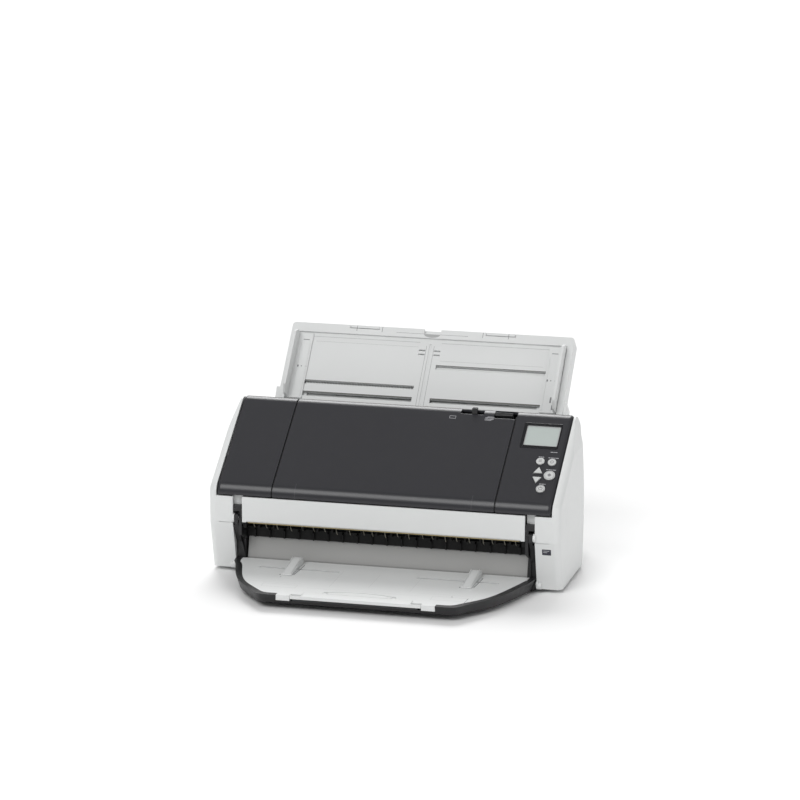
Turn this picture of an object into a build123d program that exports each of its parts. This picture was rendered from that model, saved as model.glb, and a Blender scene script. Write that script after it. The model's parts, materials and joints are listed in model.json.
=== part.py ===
"""A3 sheet fed document scanner: base, forward-opening cover, paper chute and output stacker.

Millimetres, +Z up, +X to the right seen from the front, -Y towards the user.
The origin lies on the desk, under the middle of the machine's bounding box.
"""
from build123d import *

import os
from math import cos, pi, radians, sin, tan

os.makedirs("parts", exist_ok=True)

# ---- driving dimensions -------------------------------------------------------------
BODY_HALF = 190.0        # half the width over the side covers
BODY_FRONT = -60.0       # front lip of the cover
BODY_REAR = 149.0        # back of the rear cover
FOOT_H = 4.0             # the casing's underside stands this high
LIP_Z = 87.6             # underside of the cover's nose
NOSE_Z = 88.34           # height of the nose radius's centre
NOSE_R = 14.0            # nose radius
TOP_R = 13.0             # radius along the cover's top edge
TOP_Z = 168.0            # highest point of the cover
COVER_BACK_Z = 140.0     # bottom of the cover's back wall
SLOPE = 34.24            # angle of the cover's sloping face
COVER_HALF = 180.5       # half the cover's width
SEAM_X = 120.5           # seams between the centre cover and its neighbours
SEAM_HALF = 0.8          # half the seam's gap
SKIN = 3.0               # wall of the moulded covers

COLUMN_X = 163.4         # inner face of the front columns
COLUMN_TOP = 85.6        # top of the front columns
DECK_HALF = 153.5        # inner faces of the chassis side plates
PLATE_T = 3.0            # thickness of those plates

PATH_Y = -36.0           # a point on the paper path
PATH_Z = 52.0
PATH_ANGLE = 36.0        # slope of the paper path
GAP = 0.8                # half the gap between the two paper guides
GUIDE_T = 2.7            # thickness of the paper guides

HINGE_Y = -54.0          # hinge of the opening cover
HINGE_Z = 56.0
HINGE_R = 2.0
RUNNING = 0.05           # radial clearance of shafts and pins

CHUTE_Y = 104.6          # a point on the chute's paper surface
CHUTE_Z = 160.2
CHUTE_ANGLE = 47.5
CHUTE_LOW = -32.0        # lower and upper end, along the chute
CHUTE_TOP = 87.5
CHUTE_HALF = 157.7
RACK_LOW = 14.75         # the two racks, along the chute
RACK_HIGH = 41.75
PINION_AT = (RACK_LOW + RACK_HIGH) / 2
PINION_R = 12.0
PINION_TEETH = 24

PIVOT_Y = -57.0          # pivot of the output stacker
PIVOT_Z = 62.0
PIVOT_R = 2.5
ARM_IN = 157.2           # the stacker's arms lie between these
ARM_OUT = 162.9
ARM_NECK = 161.2         # outer face of the arms beside the pivot
TRAY_FRONT = -173.0
TRAY_REAR = -46.0
TRAY_TOP = 16.0
TRAY_BOTTOM = 4.0

PULLEY_R = 8.0
BELT_IN = -162.0         # the drive belt's two edges
BELT_OUT = -157.2
MOTOR_Y = 20.0
MOTOR_Z = 34.0
MOTOR_SHAFT_R = 2.5

# Rollers on the paper path: distance along the path, radius, shaft radius.
PICK = (131.0, 14.0, 4.0)
FEED = (91.5, 11.0, 4.0)
EXIT = (17.3, 9.0, 3.5)
BRAKE_R = 9.0
IDLER_R = 6.0
NIP = 0.2                # each roller of a pair stops this far from the path

# ---- working planes -----------------------------------------------------------------
SIDE = Plane.YZ
path_x = (0, cos(radians(PATH_ANGLE)), sin(radians(PATH_ANGLE)))
chute_x = (0, cos(radians(CHUTE_ANGLE)), sin(radians(CHUTE_ANGLE)))
slope_n = (0, -sin(radians(SLOPE)), cos(radians(SLOPE)))
chute_n = (0, -sin(radians(CHUTE_ANGLE)), cos(radians(CHUTE_ANGLE)))
# Side views whose first axis runs up the path or up the chute.
PATH = Plane(origin=(0, PATH_Y, PATH_Z), x_dir=path_x, z_dir=(1, 0, 0))
CHUTE = Plane(origin=(0, CHUTE_Y, CHUTE_Z), x_dir=chute_x, z_dir=(1, 0, 0))
# Seen square on: the first axis is X and the second runs up the slope.
CHUTE_FACE = Plane(origin=(0, CHUTE_Y, CHUTE_Z), x_dir=(1, 0, 0), z_dir=chute_n)
nose_end = (
    BODY_FRONT + NOSE_R - NOSE_R * sin(radians(SLOPE)),
    NOSE_Z + NOSE_R * cos(radians(SLOPE)),
)
top_centre_z = TOP_Z - TOP_R
top_centre_y = (
    nose_end[0]
    + (top_centre_z + TOP_R / cos(radians(SLOPE)) - nose_end[1]) / tan(radians(SLOPE))
)
PANEL_FACE = Plane(origin=(0, nose_end[0], nose_end[1]), x_dir=(1, 0, 0), z_dir=slope_n)


# ---- helpers ------------------------------------------------------------------------
def finish(piece, name):
    """Label a finished piece and write its file."""
    piece.part.label = name
    export_step(piece.part, f"parts/{name}.step")


def outline(plane, points):
    """A closed straight-sided face on a plane."""
    with BuildSketch(plane) as face:
        with BuildLine():
            Polyline(*points, close=True)
        make_face()
    return face.sketch


def slab(plane, points, x0, x1, mode=Mode.ADD):
    """Extrude a side-view outline from x0 to x1 into the current part."""
    extrude(outline(plane.offset(x0), points), amount=x1 - x0, mode=mode)


def rectangle_points(s0, s1, n0, n1):
    return [(s0, n0), (s1, n0), (s1, n1), (s0, n1)]


def bar(plane, s0, s1, n0, n1, x0, x1, mode=Mode.ADD):
    """A straight bar given by its side-view rectangle and its two ends in X."""
    slab(plane, rectangle_points(s0, s1, n0, n1), x0, x1, mode)


def rod(plane, centre, radius, x0, x1, mode=Mode.ADD):
    """A cylinder along X, centred at a side-view point."""
    with BuildSketch(plane.offset(x0)) as face:
        with Locations(centre):
            Circle(radius)
    extrude(face.sketch, amount=x1 - x0, mode=mode)


def roller_centre(roller, above=False, radius=None):
    """Centre of a roller that just stops short of the paper path."""
    size = radius if radius else roller[1]
    return (roller[0], size + NIP) if above else (roller[0], -size - NIP)


def cover_line(inset):
    """Corner points of the cover's side outline, moved inwards by inset."""
    ny, nz = slope_n[1], slope_n[2]
    nose_c = (BODY_FRONT + NOSE_R, NOSE_Z)
    top_c = (top_centre_y, top_centre_z)
    small = NOSE_R - inset
    large = TOP_R - inset
    half = radians(45 + SLOPE / 2)
    lip = (BODY_FRONT + inset, LIP_Z)
    front = (nose_c[0] - small, nose_c[1])
    front_mid = (
        nose_c[0] - small * sin(half),
        nose_c[1] + small * cos(half),
    )
    front_end = (nose_c[0] + small * ny, nose_c[1] + small * nz)
    top_start = (top_c[0] + large * ny, top_c[1] + large * nz)
    top_mid = (
        top_c[0] + large * sin(radians(45 - SLOPE / 2)),
        top_c[1] + large * cos(radians(45 - SLOPE / 2)),
    )
    back = (top_c[0] + large, top_c[1])
    end = (top_c[0] + large, COVER_BACK_Z)
    return lip, front, front_mid, front_end, top_start, top_mid, back, end


def cover_face(x, outer, inner=None):
    """Side view of the cover's skin between two insets, or of all below one inset."""
    with BuildSketch(SIDE.offset(x)) as face:
        with BuildLine():
            a = cover_line(outer)
            Line(a[0], a[1])
            ThreePointArc(a[1], a[2], a[3])
            Line(a[3], a[4])
            ThreePointArc(a[4], a[5], a[6])
            Line(a[6], a[7])
            if inner:
                b = cover_line(inner)
                Line(a[7], b[7])
                Line(b[7], b[6])
                ThreePointArc(b[6], b[5], b[4])
                Line(b[4], b[3])
                ThreePointArc(b[3], b[2], b[1])
                Line(b[1], b[0])
                Line(b[0], a[0])
            else:
                Line(a[7], a[0])
        make_face()
    return face.sketch


def cover_skin(x0, x1):
    extrude(cover_face(x0, 0, SKIN), amount=x1 - x0)


def side_point(plane, s, n):
    """Y and Z of a point given on one of the tilted side views."""
    spot = plane.from_local_coords(Vector(s, n, 0))
    return (spot.Y, spot.Z)


# ---- base: chassis, feet and screws ---------------------------------------------------
PICK_C = roller_centre(PICK)
FEED_C = roller_centre(FEED)
EXIT_C = roller_centre(EXIT)
FLOOR_T = 3.0
FLOOR_Z = FOOT_H + FLOOR_T
SCREW_SPOTS = [(x, y) for x in (-145, 145) for y in (-28, 57, 130)]
CHUTE_BACK_N = -15.5     # underside of the chute, below its paper surface
plate_outline = [
    (-60, 44), (-60, 62), (-57.6, 64), (-57.6, 76), (-53.4, 76), (-53.4, 62),
    (-47, 62), (30, 118), (70, 128), (79, 134),
    side_point(CHUTE, CHUTE_LOW, -2.5), side_point(CHUTE, CHUTE_LOW, CHUTE_BACK_N),
    (94, 118), (120, 110), (120, FLOOR_Z - 1), (-44, FLOOR_Z - 1), (-44, 36),
]


def shaft_bores(clearance, x0, x1):
    """Bores for the three lower shafts, the motor and the cover's hinge pins."""
    for centre, shaft in ((PICK_C, PICK[2]), (FEED_C, FEED[2]), (EXIT_C, EXIT[2])):
        rod(PATH, centre, shaft + clearance, x0, x1, Mode.SUBTRACT)
    rod(SIDE, (HINGE_Y, HINGE_Z), HINGE_R, x0, x1, Mode.SUBTRACT)
    rod(SIDE, (MOTOR_Y, MOTOR_Z), MOTOR_SHAFT_R + clearance, x0, x1, Mode.SUBTRACT)


with BuildPart() as base_chassis:
    bar(SIDE, -42, 70, FOOT_H, FLOOR_Z, -COLUMN_X + 0.1, COLUMN_X - 0.1)
    bar(SIDE, 70, 146, FOOT_H, FLOOR_Z, -162, 162)
    for side in (-1, 1):
        x0 = DECK_HALF if side > 0 else -DECK_HALF - PLATE_T
        slab(SIDE, plate_outline, x0, x0 + PLATE_T)
        shaft_bores(RUNNING, x0 - 1, x0 + PLATE_T + 1)
        # Black filler in the gap between the band and the column.
        bar(SIDE, -57.6, -53.4, 69.4, 76, side * DECK_HALF, side * (COLUMN_X - 0.5))
        # The floor's front edge steps back behind the stacker's arms.
        bar(SIDE, -43, -40, FOOT_H - 1, FLOOR_Z + 1, side * (ARM_IN - 0.5), side * COLUMN_X, Mode.SUBTRACT)
    # Cross wall under the paper path ties the two side plates together.
    bar(SIDE, 46, 48.5, FLOOR_Z - 1, 78, -DECK_HALF - 1, DECK_HALF + 1)
    with Locations(*[(x, y, FOOT_H) for x, y in SCREW_SPOTS]):
        Cylinder(1.7, 12, mode=Mode.SUBTRACT)
finish(base_chassis, "base_chassis")

with BuildPart() as feet:
    with BuildSketch(Plane.XY):
        with Locations((-170, -28), (170, -28), (-150, 132), (150, 132)):
            Circle(7.5)
    extrude(amount=FOOT_H)
    chamfer(feet.edges().group_by(Axis.Z)[0], 0.8)
finish(feet, "feet")

with BuildPart() as base_screws:
    with BuildSketch(Plane.XY.offset(FLOOR_Z)):
        with Locations(*SCREW_SPOTS):
            Circle(3)
    extrude(amount=2)
    with BuildSketch(Plane.XY.offset(FLOOR_Z)):
        with Locations(*SCREW_SPOTS):
            Circle(1.5)
    extrude(amount=-FLOOR_T)
finish(base_screws, "base_screws")

with BuildPart() as cover_hinge_pins:
    for side in (-1, 1):
        x0 = 149.3 if side > 0 else -156.5
        rod(SIDE, (HINGE_Y, HINGE_Z), HINGE_R, x0, x0 + 7.2)
finish(cover_hinge_pins, "cover_hinge_pins")


# ---- base: side covers -----------------------------------------------------------------
SIDE_EDGE = 1.0          # the side covers stand this far below the cover's face
SIDE_ROUND = 7.0         # roundness of their outer edges
SHELF_Z = COLUMN_TOP - SKIN


SIDE_FOOT = (BODY_HALF, 136.0)    # from here the side covers lean in
SIDE_HEAD = (181.4, 176.0)        # to here


def side_cover_face(x, inset):
    """Side view of a side cover, moved inwards by inset."""
    a = cover_line(SIDE_EDGE + inset)
    sill = FOOT_H + inset
    with BuildSketch(SIDE.offset(x)) as face:
        with BuildLine():
            knee = (BODY_FRONT + 1 + inset, 57)
            Line((-45.7 + inset, sill), knee)
            Line(knee, a[1])
            ThreePointArc(a[1], a[2], a[3])
            shoulder = (57.9 - inset, 146)
            Line(a[3], a[4])
            ThreePointArc(a[4], a[5], a[6])
            Line(a[6], shoulder)
            ThreePointArc(shoulder, (67.8 - inset, 92), (62.5 - inset, sill))
            Line((62.5 - inset, sill), (-45.7 + inset, sill))
        make_face()
    return face.sketch


def round_side(shell, side, inset):
    """Round the outer face's edges, except along the bottom."""
    face = shell.faces().sort_by(Axis.X)[-1 if side > 0 else 0]
    upper = [e for e in face.edges() if e.center().Z > FOOT_H + SKIN + 1]
    fillet(upper, SIDE_ROUND - inset)


def lean_in(side, foot, head, inset):
    """Cut the outer face to a slope from foot up to head, both given as X and Z."""
    top = (head[0] - inset, head[1])
    wedge = [(foot[0] - inset, foot[1]), top, (BODY_HALF + 5, head[1]), (BODY_HALF + 5, foot[1])]
    mirrored = [(side * x, z) for x, z in wedge]
    extrude(outline(Plane.XZ.offset(-BODY_REAR - 1), mirrored), amount=250, mode=Mode.SUBTRACT)


def side_cover(side):
    """One side cover: a rounded shell with the front column in it."""
    inner_x = side * COLUMN_X
    outer_x = side * BODY_HALF
    with BuildPart() as cover:
        extrude(side_cover_face(inner_x, 0), amount=outer_x - inner_x)
        round_side(cover, side, 0)
        lean_in(side, SIDE_FOOT, SIDE_HEAD, 0)
        with BuildPart(mode=Mode.PRIVATE) as hollow:
            extrude(side_cover_face(inner_x - side, SKIN), amount=outer_x - inner_x - side * (SKIN - 1))
            round_side(hollow, side, SKIN)
            lean_in(side, SIDE_FOOT, SIDE_HEAD, SKIN)
        add(hollow.part, mode=Mode.SUBTRACT)
        # The column's top shelf and its inner wall.
        bar(SIDE, -57, 58, SHELF_Z, COLUMN_TOP, inner_x, side * 184)
        wall = [(-45.7, FOOT_H), (-59, 57), (-59, COLUMN_TOP), (-22, COLUMN_TOP), (-22, FOOT_H)]
        slab(SIDE, wall, inner_x, inner_x + side * 2.5)
        # Room for the opening cover.
        zone = rectangle_points(-70, 90, COLUMN_TOP, 190)
        slab(SIDE, zone, side * 160, side * (COVER_HALF + 1.1), Mode.SUBTRACT)
        # Styling groove on the column's front.
        bar(SIDE, -61, -58.2, 56.8, 57.6, inner_x - side, side * 179, Mode.SUBTRACT)
        # Wall behind the gap between the band and the column, and a lug low on the column.
        bar(SIDE, -53, -50.5, 69, COLUMN_TOP, side * (ARM_IN - 0.2), inner_x + side)
        rod(SIDE, (-47.5, 9.5), 3.5, side * (COLUMN_X - 0.3), inner_x + side * 2)
        # Pivot nub of the stacker with its collar.
        rod(SIDE, (PIVOT_Y, PIVOT_Z), 2.0 + PIVOT_R, side * (ARM_NECK + 0.4), inner_x + side)
        rod(SIDE, (PIVOT_Y, PIVOT_Z), PIVOT_R, side * ARM_IN, inner_x + side)
    return cover


for side, name in ((-1, "left_side_cover"), (1, "right_side_cover")):
    finish(side_cover(side), name)


# ---- base: rear cover and connectors ------------------------------------------------------
REAR_HALF = 165.0
REAR_SKIN = 2.5
DC_X = -118.0
USB_X = -92.0
PORT_Z = 30.0
rear_outline = [
    (72, FOOT_H), (BODY_REAR, FOOT_H), (BODY_REAR, 142), (141, 150),
    (118, 150), (97, 126.5), (97, 100), (72, 100),
]
room_inside = [
    (60, 0), (BODY_REAR - REAR_SKIN, 0), (BODY_REAR - REAR_SKIN, 141), (140, 147.5),
    (119.1, 147.5), (96, 121.5), (96, 112), (60, 112),
]
REAR_FOOT = (167.0, 122.0)        # the rear cover's upper corners are cut between these
REAR_HEAD = (151.0, 152.0)
with BuildPart() as rear_cover:
    slab(SIDE, rear_outline, -REAR_HALF, REAR_HALF)
    fillet(rear_cover.edges().filter_by(Axis.Z).group_by(Axis.Y)[-1], 6)
    with BuildPart(mode=Mode.PRIVATE) as rear_room:
        slab(SIDE, room_inside, -REAR_HALF + REAR_SKIN, REAR_HALF - REAR_SKIN)
        for side in (-1, 1):
            lean_in(side, REAR_FOOT, REAR_HEAD, REAR_SKIN)
    for side in (-1, 1):
        lean_in(side, REAR_FOOT, REAR_HEAD, 0)
    add(rear_room.part, mode=Mode.SUBTRACT)
    # Vent slots low on the back, left and right of the middle.
    with BuildSketch(Plane.XZ.offset(-BODY_REAR)):
        for x in (-60, 60):
            with Locations((x, 70)):
                with GridLocations(6, 1, 12, 1):
                    SlotOverall(26, 2.4, rotation=90)
        with Locations((DC_X, PORT_Z)):
            Circle(5.2)
        with Locations((USB_X, PORT_Z)):
            Rectangle(13, 12)
    extrude(amount=REAR_SKIN + 1, both=True, mode=Mode.SUBTRACT)
finish(rear_cover, "rear_cover")

with BuildPart() as dc_inlet:
    with BuildSketch(Plane.XZ.offset(-BODY_REAR + 0.6)):
        with Locations((DC_X, PORT_Z)):
            Circle(5.1)
    extrude(amount=12)
    with BuildSketch(Plane.XZ.offset(-BODY_REAR + 0.6)):
        with Locations((DC_X, PORT_Z)):
            Circle(2.9)
            Circle(1.0, mode=Mode.SUBTRACT)
    extrude(amount=9, mode=Mode.SUBTRACT)
finish(dc_inlet, "dc_inlet")

with BuildPart() as usb_port:
    with BuildSketch(Plane.XZ.offset(-BODY_REAR + 0.6)):
        with Locations((USB_X, PORT_Z)):
            Rectangle(12.6, 11.6)
    extrude(amount=14)
    with BuildSketch(Plane.XZ.offset(-BODY_REAR + 0.6)):
        with Locations((USB_X, PORT_Z)):
            Rectangle(9, 8)
            Rectangle(5.6, 3.2, mode=Mode.SUBTRACT)
    extrude(amount=9, mode=Mode.SUBTRACT)
finish(usb_port, "usb_port")

# ---- base: front wall and lower paper guide ------------------------------------------------
WALL_HALF = 152.0
with BuildPart() as front_lower_cover:
    wall = [
        (-36, 37.6), (-42, 15.9), (-42, FLOOR_Z), (-39.4, FLOOR_Z),
        (-39.4, 15.5), (-33.4, 37.6),
    ]
    slab(SIDE, wall, -WALL_HALF, WALL_HALF)
finish(front_lower_cover, "front_lower_cover")

TYRE_XS = (-27.0, 27.0)
TYRE_W = 26.0
IDLER_XS = (-125.0, -75.0, -25.0, 25.0, 75.0, 125.0)
IDLER_W = 14.0
RIB_PITCH = 16.0
GLASS_LOW = 38.0         # the scan windows, along the path
GLASS_HIGH = 70.0
GUIDE_LOW = -3.5
GUIDE_HIGH = 113.0


def cut_guide(n0, n1, half, roller, xs, width):
    """Openings in a paper guide for a row of rollers."""
    for x in xs:
        x0 = x - width / 2 - 1
        bar(PATH, roller[0] - half, roller[0] + half, n0, n1, x0, x0 + width + 2, Mode.SUBTRACT)


with BuildPart() as lower_guide:
    bar(PATH, GUIDE_LOW, GUIDE_HIGH, -GAP - GUIDE_T, -GAP, -DECK_HALF, DECK_HALF)
    # The front skirt below the exit slot, with its upright ribs.
    skirt = [(-38.6, 37.8), (-38.9, 49.0), (-36.0, 51.0), (-33.5, 50.5), (-35.5, 37.8)]
    slab(SIDE, skirt, -DECK_HALF, DECK_HALF)
    rib = [(-41.0, 37.9), (-42.2, 46.5), (-38.5, 49.0), (-38.2, 37.9)]
    for i in range(-9, 10):
        slab(SIDE, rib, i * RIB_PITCH - 0.8, i * RIB_PITCH + 0.8)
    bar(PATH, GLASS_LOW - 0.5, GLASS_HIGH + 0.5, -9, 1, -146.5, 146.5, Mode.SUBTRACT)
    cut_guide(-9, 1, 10, FEED, TYRE_XS, TYRE_W)
    cut_guide(-9, 1, 10, EXIT, IDLER_XS, IDLER_W)
finish(lower_guide, "lower_guide")


def scan_unit(sign):
    """Scanner module below (sign -1) or above (sign 1) the path: a box with a light trough."""
    with BuildPart() as unit:
        n0, n1 = sorted((sign * 4.0, sign * 25.0))
        bar(PATH, 33, 75, n0, n1, -148, 148)
        t0, t1 = sorted((sign * 3.9, sign * 12.0))
        bar(PATH, 46, 62, t0, t1, -144, 144, Mode.SUBTRACT)
    return unit


def scan_glass(sign):
    with BuildPart() as glass:
        n0, n1 = sorted((sign * 1.2, sign * 3.9))
        bar(PATH, GLASS_LOW, GLASS_HIGH, n0, n1, -146, 146)
    return glass


finish(scan_unit(-1), "lower_scan_unit")
finish(scan_glass(-1), "lower_scan_glass")

# ---- base: shafts, tyres, belt drive and board ---------------------------------------------
SHAFT_END = 158.0


def drive_shaft(roller):
    """A lower shaft with its belt pulley on the left end."""
    centre = roller_centre(roller)
    with BuildPart() as shaft:
        rod(PATH, centre, roller[2], BELT_IN, SHAFT_END)
        rod(PATH, centre, PULLEY_R, BELT_IN, BELT_OUT)
    return shaft


def tyres(plane, centre, radius, bore, xs, width):
    """Rubber rings on a shaft."""
    with BuildPart() as rings:
        for x in xs:
            rod(plane, centre, radius, x - width / 2, x + width / 2)
            rod(plane, centre, bore, x - width / 2, x + width / 2, Mode.SUBTRACT)
    return rings


finish(drive_shaft(PICK), "pick_shaft")
finish(tyres(PATH, PICK_C, PICK[1], PICK[2], TYRE_XS, TYRE_W), "pick_tyres")
finish(drive_shaft(FEED), "feed_shaft")
finish(tyres(PATH, FEED_C, FEED[1], FEED[2], TYRE_XS, TYRE_W), "feed_tyres")
finish(drive_shaft(EXIT), "exit_shaft")
finish(tyres(PATH, EXIT_C, EXIT[1], EXIT[2], IDLER_XS, IDLER_W), "exit_tyres")

MOTOR_R = 17.0
with BuildPart() as drive_motor:
    rod(SIDE, (MOTOR_Y, MOTOR_Z), MOTOR_R, -DECK_HALF, -DECK_HALF + 34)
    bar(SIDE, MOTOR_Y - MOTOR_R, MOTOR_Y + MOTOR_R, FLOOR_Z, MOTOR_Z - 6, -DECK_HALF + 6, -DECK_HALF + 28)
    bore = MOTOR_SHAFT_R + RUNNING
    rod(SIDE, (MOTOR_Y, MOTOR_Z), bore, -DECK_HALF, -DECK_HALF + 20, Mode.SUBTRACT)
finish(drive_motor, "drive_motor")

with BuildPart() as motor_pulley:
    rod(SIDE, (MOTOR_Y, MOTOR_Z), PULLEY_R, BELT_IN, BELT_OUT)
    rod(SIDE, (MOTOR_Y, MOTOR_Z), MOTOR_SHAFT_R, BELT_IN, -DECK_HALF + 19)
finish(motor_pulley, "motor_pulley")


def belt_face(radius):
    """Side view of a band round the motor's pulley and the three shafts' pulleys."""
    centres = [side_point(PATH, *centre) for centre in (PICK_C, FEED_C, EXIT_C)]
    with BuildSketch(SIDE.offset(BELT_IN + 0.3)) as face:
        with BuildLine():
            for centre in [(MOTOR_Y, MOTOR_Z)] + centres:
                CenterArc(centre, radius, 0, 360)
        make_hull()
    return face.sketch


with BuildPart() as drive_belt:
    width = BELT_OUT - BELT_IN - 0.6
    extrude(belt_face(PULLEY_R + 1.8), amount=width)
    extrude(belt_face(PULLEY_R + 0.3), amount=width, mode=Mode.SUBTRACT)
finish(drive_belt, "drive_belt")

BOARD_Z = 14.0
with BuildPart() as main_board:
    with BuildSketch(Plane.XY.offset(BOARD_Z)):
        with Locations((20, 95)):
            Rectangle(170, 74)
    extrude(amount=1.6)
    with BuildSketch(Plane.XY.offset(FLOOR_Z)):
        with Locations((20, 95)):
            with GridLocations(156, 60, 2, 2):
                Circle(3)
    extrude(amount=BOARD_Z - FLOOR_Z)
    with BuildSketch(Plane.XY.offset(BOARD_Z + 1.6)):
        with Locations((0, 95), (50, 105)):
            Rectangle(24, 24)
        with Locations((-40, 80), (80, 85)):
            Rectangle(30, 8)
    extrude(amount=4)
finish(main_board, "main_board")

# ---- opening cover: skins and band ---------------------------------------------------------
END_ROUND = 3.5          # rounding of the cover's two ends


def cover_end(side):
    """Skin from a seam to the cover's end, closed there and rounded along its outline."""
    seam = side * (SEAM_X + SEAM_HALF)
    end = side * COVER_HALF
    back_y = top_centre_y + TOP_R
    below = [(BODY_FRONT, LIP_Z + 0.5), (BODY_FRONT, 60), (back_y, 100), (back_y, COVER_BACK_Z + 5)]
    spare = [(BODY_FRONT - 1, 50), (BODY_FRONT - 1, LIP_Z), (BODY_FRONT + SKIN, LIP_Z)]
    spare += [(back_y - SKIN, COVER_BACK_Z), (back_y + 1, COVER_BACK_Z), (back_y + 1, 50)]
    with BuildPart() as panel:
        extrude(cover_face(seam, 0), amount=end - seam)
        slab(SIDE, below, seam, end)
        face = panel.faces().sort_by(Axis.X)[-1 if side > 0 else 0]
        fillet(face.edges().sort_by(lambda e: e.center().Z)[1:], END_ROUND)
        extrude(cover_face(seam - side, SKIN), amount=end - seam - side * 1.5, mode=Mode.SUBTRACT)
        slab(SIDE, spare, seam - side, end + side, Mode.SUBTRACT)
    return panel


KNOB_X = 74.8
SLOT_X0 = 60.0
SLOT_X1 = 85.0
TAB_X0 = 97.0
TAB_X1 = 116.0
TAB_PIVOT = (47.0, 146.0)
TAB_PIN_R = 1.5
with BuildPart() as centre_cover:
    edge = SEAM_X - SEAM_HALF
    cover_skin(-edge, edge)
    # Slot of the feed selector and notch of the release tab, in the top edge.
    bar(SIDE, 42, 49, 158, 172, SLOT_X0, SLOT_X1, Mode.SUBTRACT)
    bar(SIDE, 39, 52, 158, 172, TAB_X0 - 0.5, edge + 1, Mode.SUBTRACT)
    for x0 in (TAB_X0 - 3, TAB_X1 + 0.3):
        bar(SIDE, 43, 55, 142, 150, x0, x0 + 2.5)
        rod(SIDE, TAB_PIVOT, TAB_PIN_R + RUNNING, x0 - 1, x0 + 4, Mode.SUBTRACT)
finish(centre_cover, "centre_cover")

finish(cover_end(-1), "left_cover_panel")

# Operator panel layout on the sloping face: X and distance up the slope.
SCREEN_AT = (153.0, 91.5)
SCREEN_SIZE = (36.5, 28.0)
BEZEL_AT = (152.0, 91.5)
BEZEL_SIZE = (40.5, 34.5)
ROUND_BUTTONS = {
    "menu_button": (157.6, 56.0, 4.5),
    "clear_button": (170.2, 55.5, 4.5),
    "scan_button": (170.7, 37.3, 6.0),
    "power_button": (164.7, 18.3, 4.8),
}
ARROW_BUTTONS = {"up_button": (158.0, 42.3, 90), "down_button": (158.0, 31.2, -90)}
ARROW_R = 5.4
BUTTON_GAP = 0.3


def arrow(x, s, turn, grow):
    with Locations((x, s)):
        RegularPolygon(ARROW_R + 2 * grow, 3, rotation=turn)


with BuildPart() as operator_panel:
    add(cover_end(1).part)
    with BuildSketch(PANEL_FACE):
        with Locations(BEZEL_AT):
            RectangleRounded(BEZEL_SIZE[0] + 0.4, BEZEL_SIZE[1] + 0.4, 1.5)
        for x, s, r in ROUND_BUTTONS.values():
            with Locations((x, s)):
                Circle(r + BUTTON_GAP)
        for x, s, turn in ARROW_BUTTONS.values():
            arrow(x, s, turn, BUTTON_GAP)
    extrude(amount=4, both=True, mode=Mode.SUBTRACT)
finish(operator_panel, "operator_panel")

with BuildPart() as display_bezel:
    with BuildSketch(PANEL_FACE.offset(-3.0)):
        with Locations(BEZEL_AT):
            RectangleRounded(*BEZEL_SIZE, 1.3)
    extrude(amount=3.4)
    with BuildSketch(PANEL_FACE.offset(-1.4)):
        with Locations(SCREEN_AT):
            Rectangle(*SCREEN_SIZE)
    extrude(amount=3, mode=Mode.SUBTRACT)
finish(display_bezel, "display_bezel")

with BuildPart() as display_panel:
    with BuildSketch(PANEL_FACE.offset(-1.4)):
        with Locations(SCREEN_AT):
            Rectangle(SCREEN_SIZE[0] - 0.2, SCREEN_SIZE[1] - 0.2)
    extrude(amount=1.0)
finish(display_panel, "display_panel")

with BuildPart() as button_board:
    with BuildSketch(PANEL_FACE.offset(-9.0)):
        with Locations((165.6, 39)):
            Rectangle(24, 58)
    extrude(amount=1.6)
finish(button_board, "button_board")

BUTTON_DOWN = -6.0
BUTTON_UP = 1.2
for name, (x, s, r) in ROUND_BUTTONS.items():
    with BuildPart() as button:
        with BuildSketch(PANEL_FACE.offset(BUTTON_DOWN)):
            with Locations((x, s)):
                Circle(r)
        extrude(amount=BUTTON_UP - BUTTON_DOWN)
        fillet(button.faces().sort_by(Axis.Z)[-1].edges(), 0.5)
    finish(button, name)

for name, (x, s, turn) in ARROW_BUTTONS.items():
    with BuildPart() as button:
        with BuildSketch(PANEL_FACE.offset(BUTTON_DOWN)):
            arrow(x, s, turn, 0)
        extrude(amount=BUTTON_UP - BUTTON_DOWN)
        fillet(button.faces().sort_by(Axis.Z)[-1].edges(), 0.5)
    finish(button, name)

BAND_HALF = 152.9
BAND_LOW = 58.4
BAND_HIGH = 86.0
with BuildPart() as front_band:
    band = [
        (-60, BAND_LOW + 1.5), (-60, BAND_HIGH), (-57, BAND_HIGH), (-57, BAND_LOW + 2.6),
        (-54.5, BAND_LOW + 1.6), (-54.5, BAND_LOW), (-58.5, BAND_LOW),
    ]
    slab(SIDE, band, -BAND_HALF + 4.2, BAND_HALF - 4.2)
    for side in (-1, 1):
        end = rectangle_points(-60, -57.2, BAND_LOW, BAND_HIGH)
        slab(SIDE, end, side * (BAND_HALF - 4.2), side * BAND_HALF)
finish(front_band, "front_band")

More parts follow.
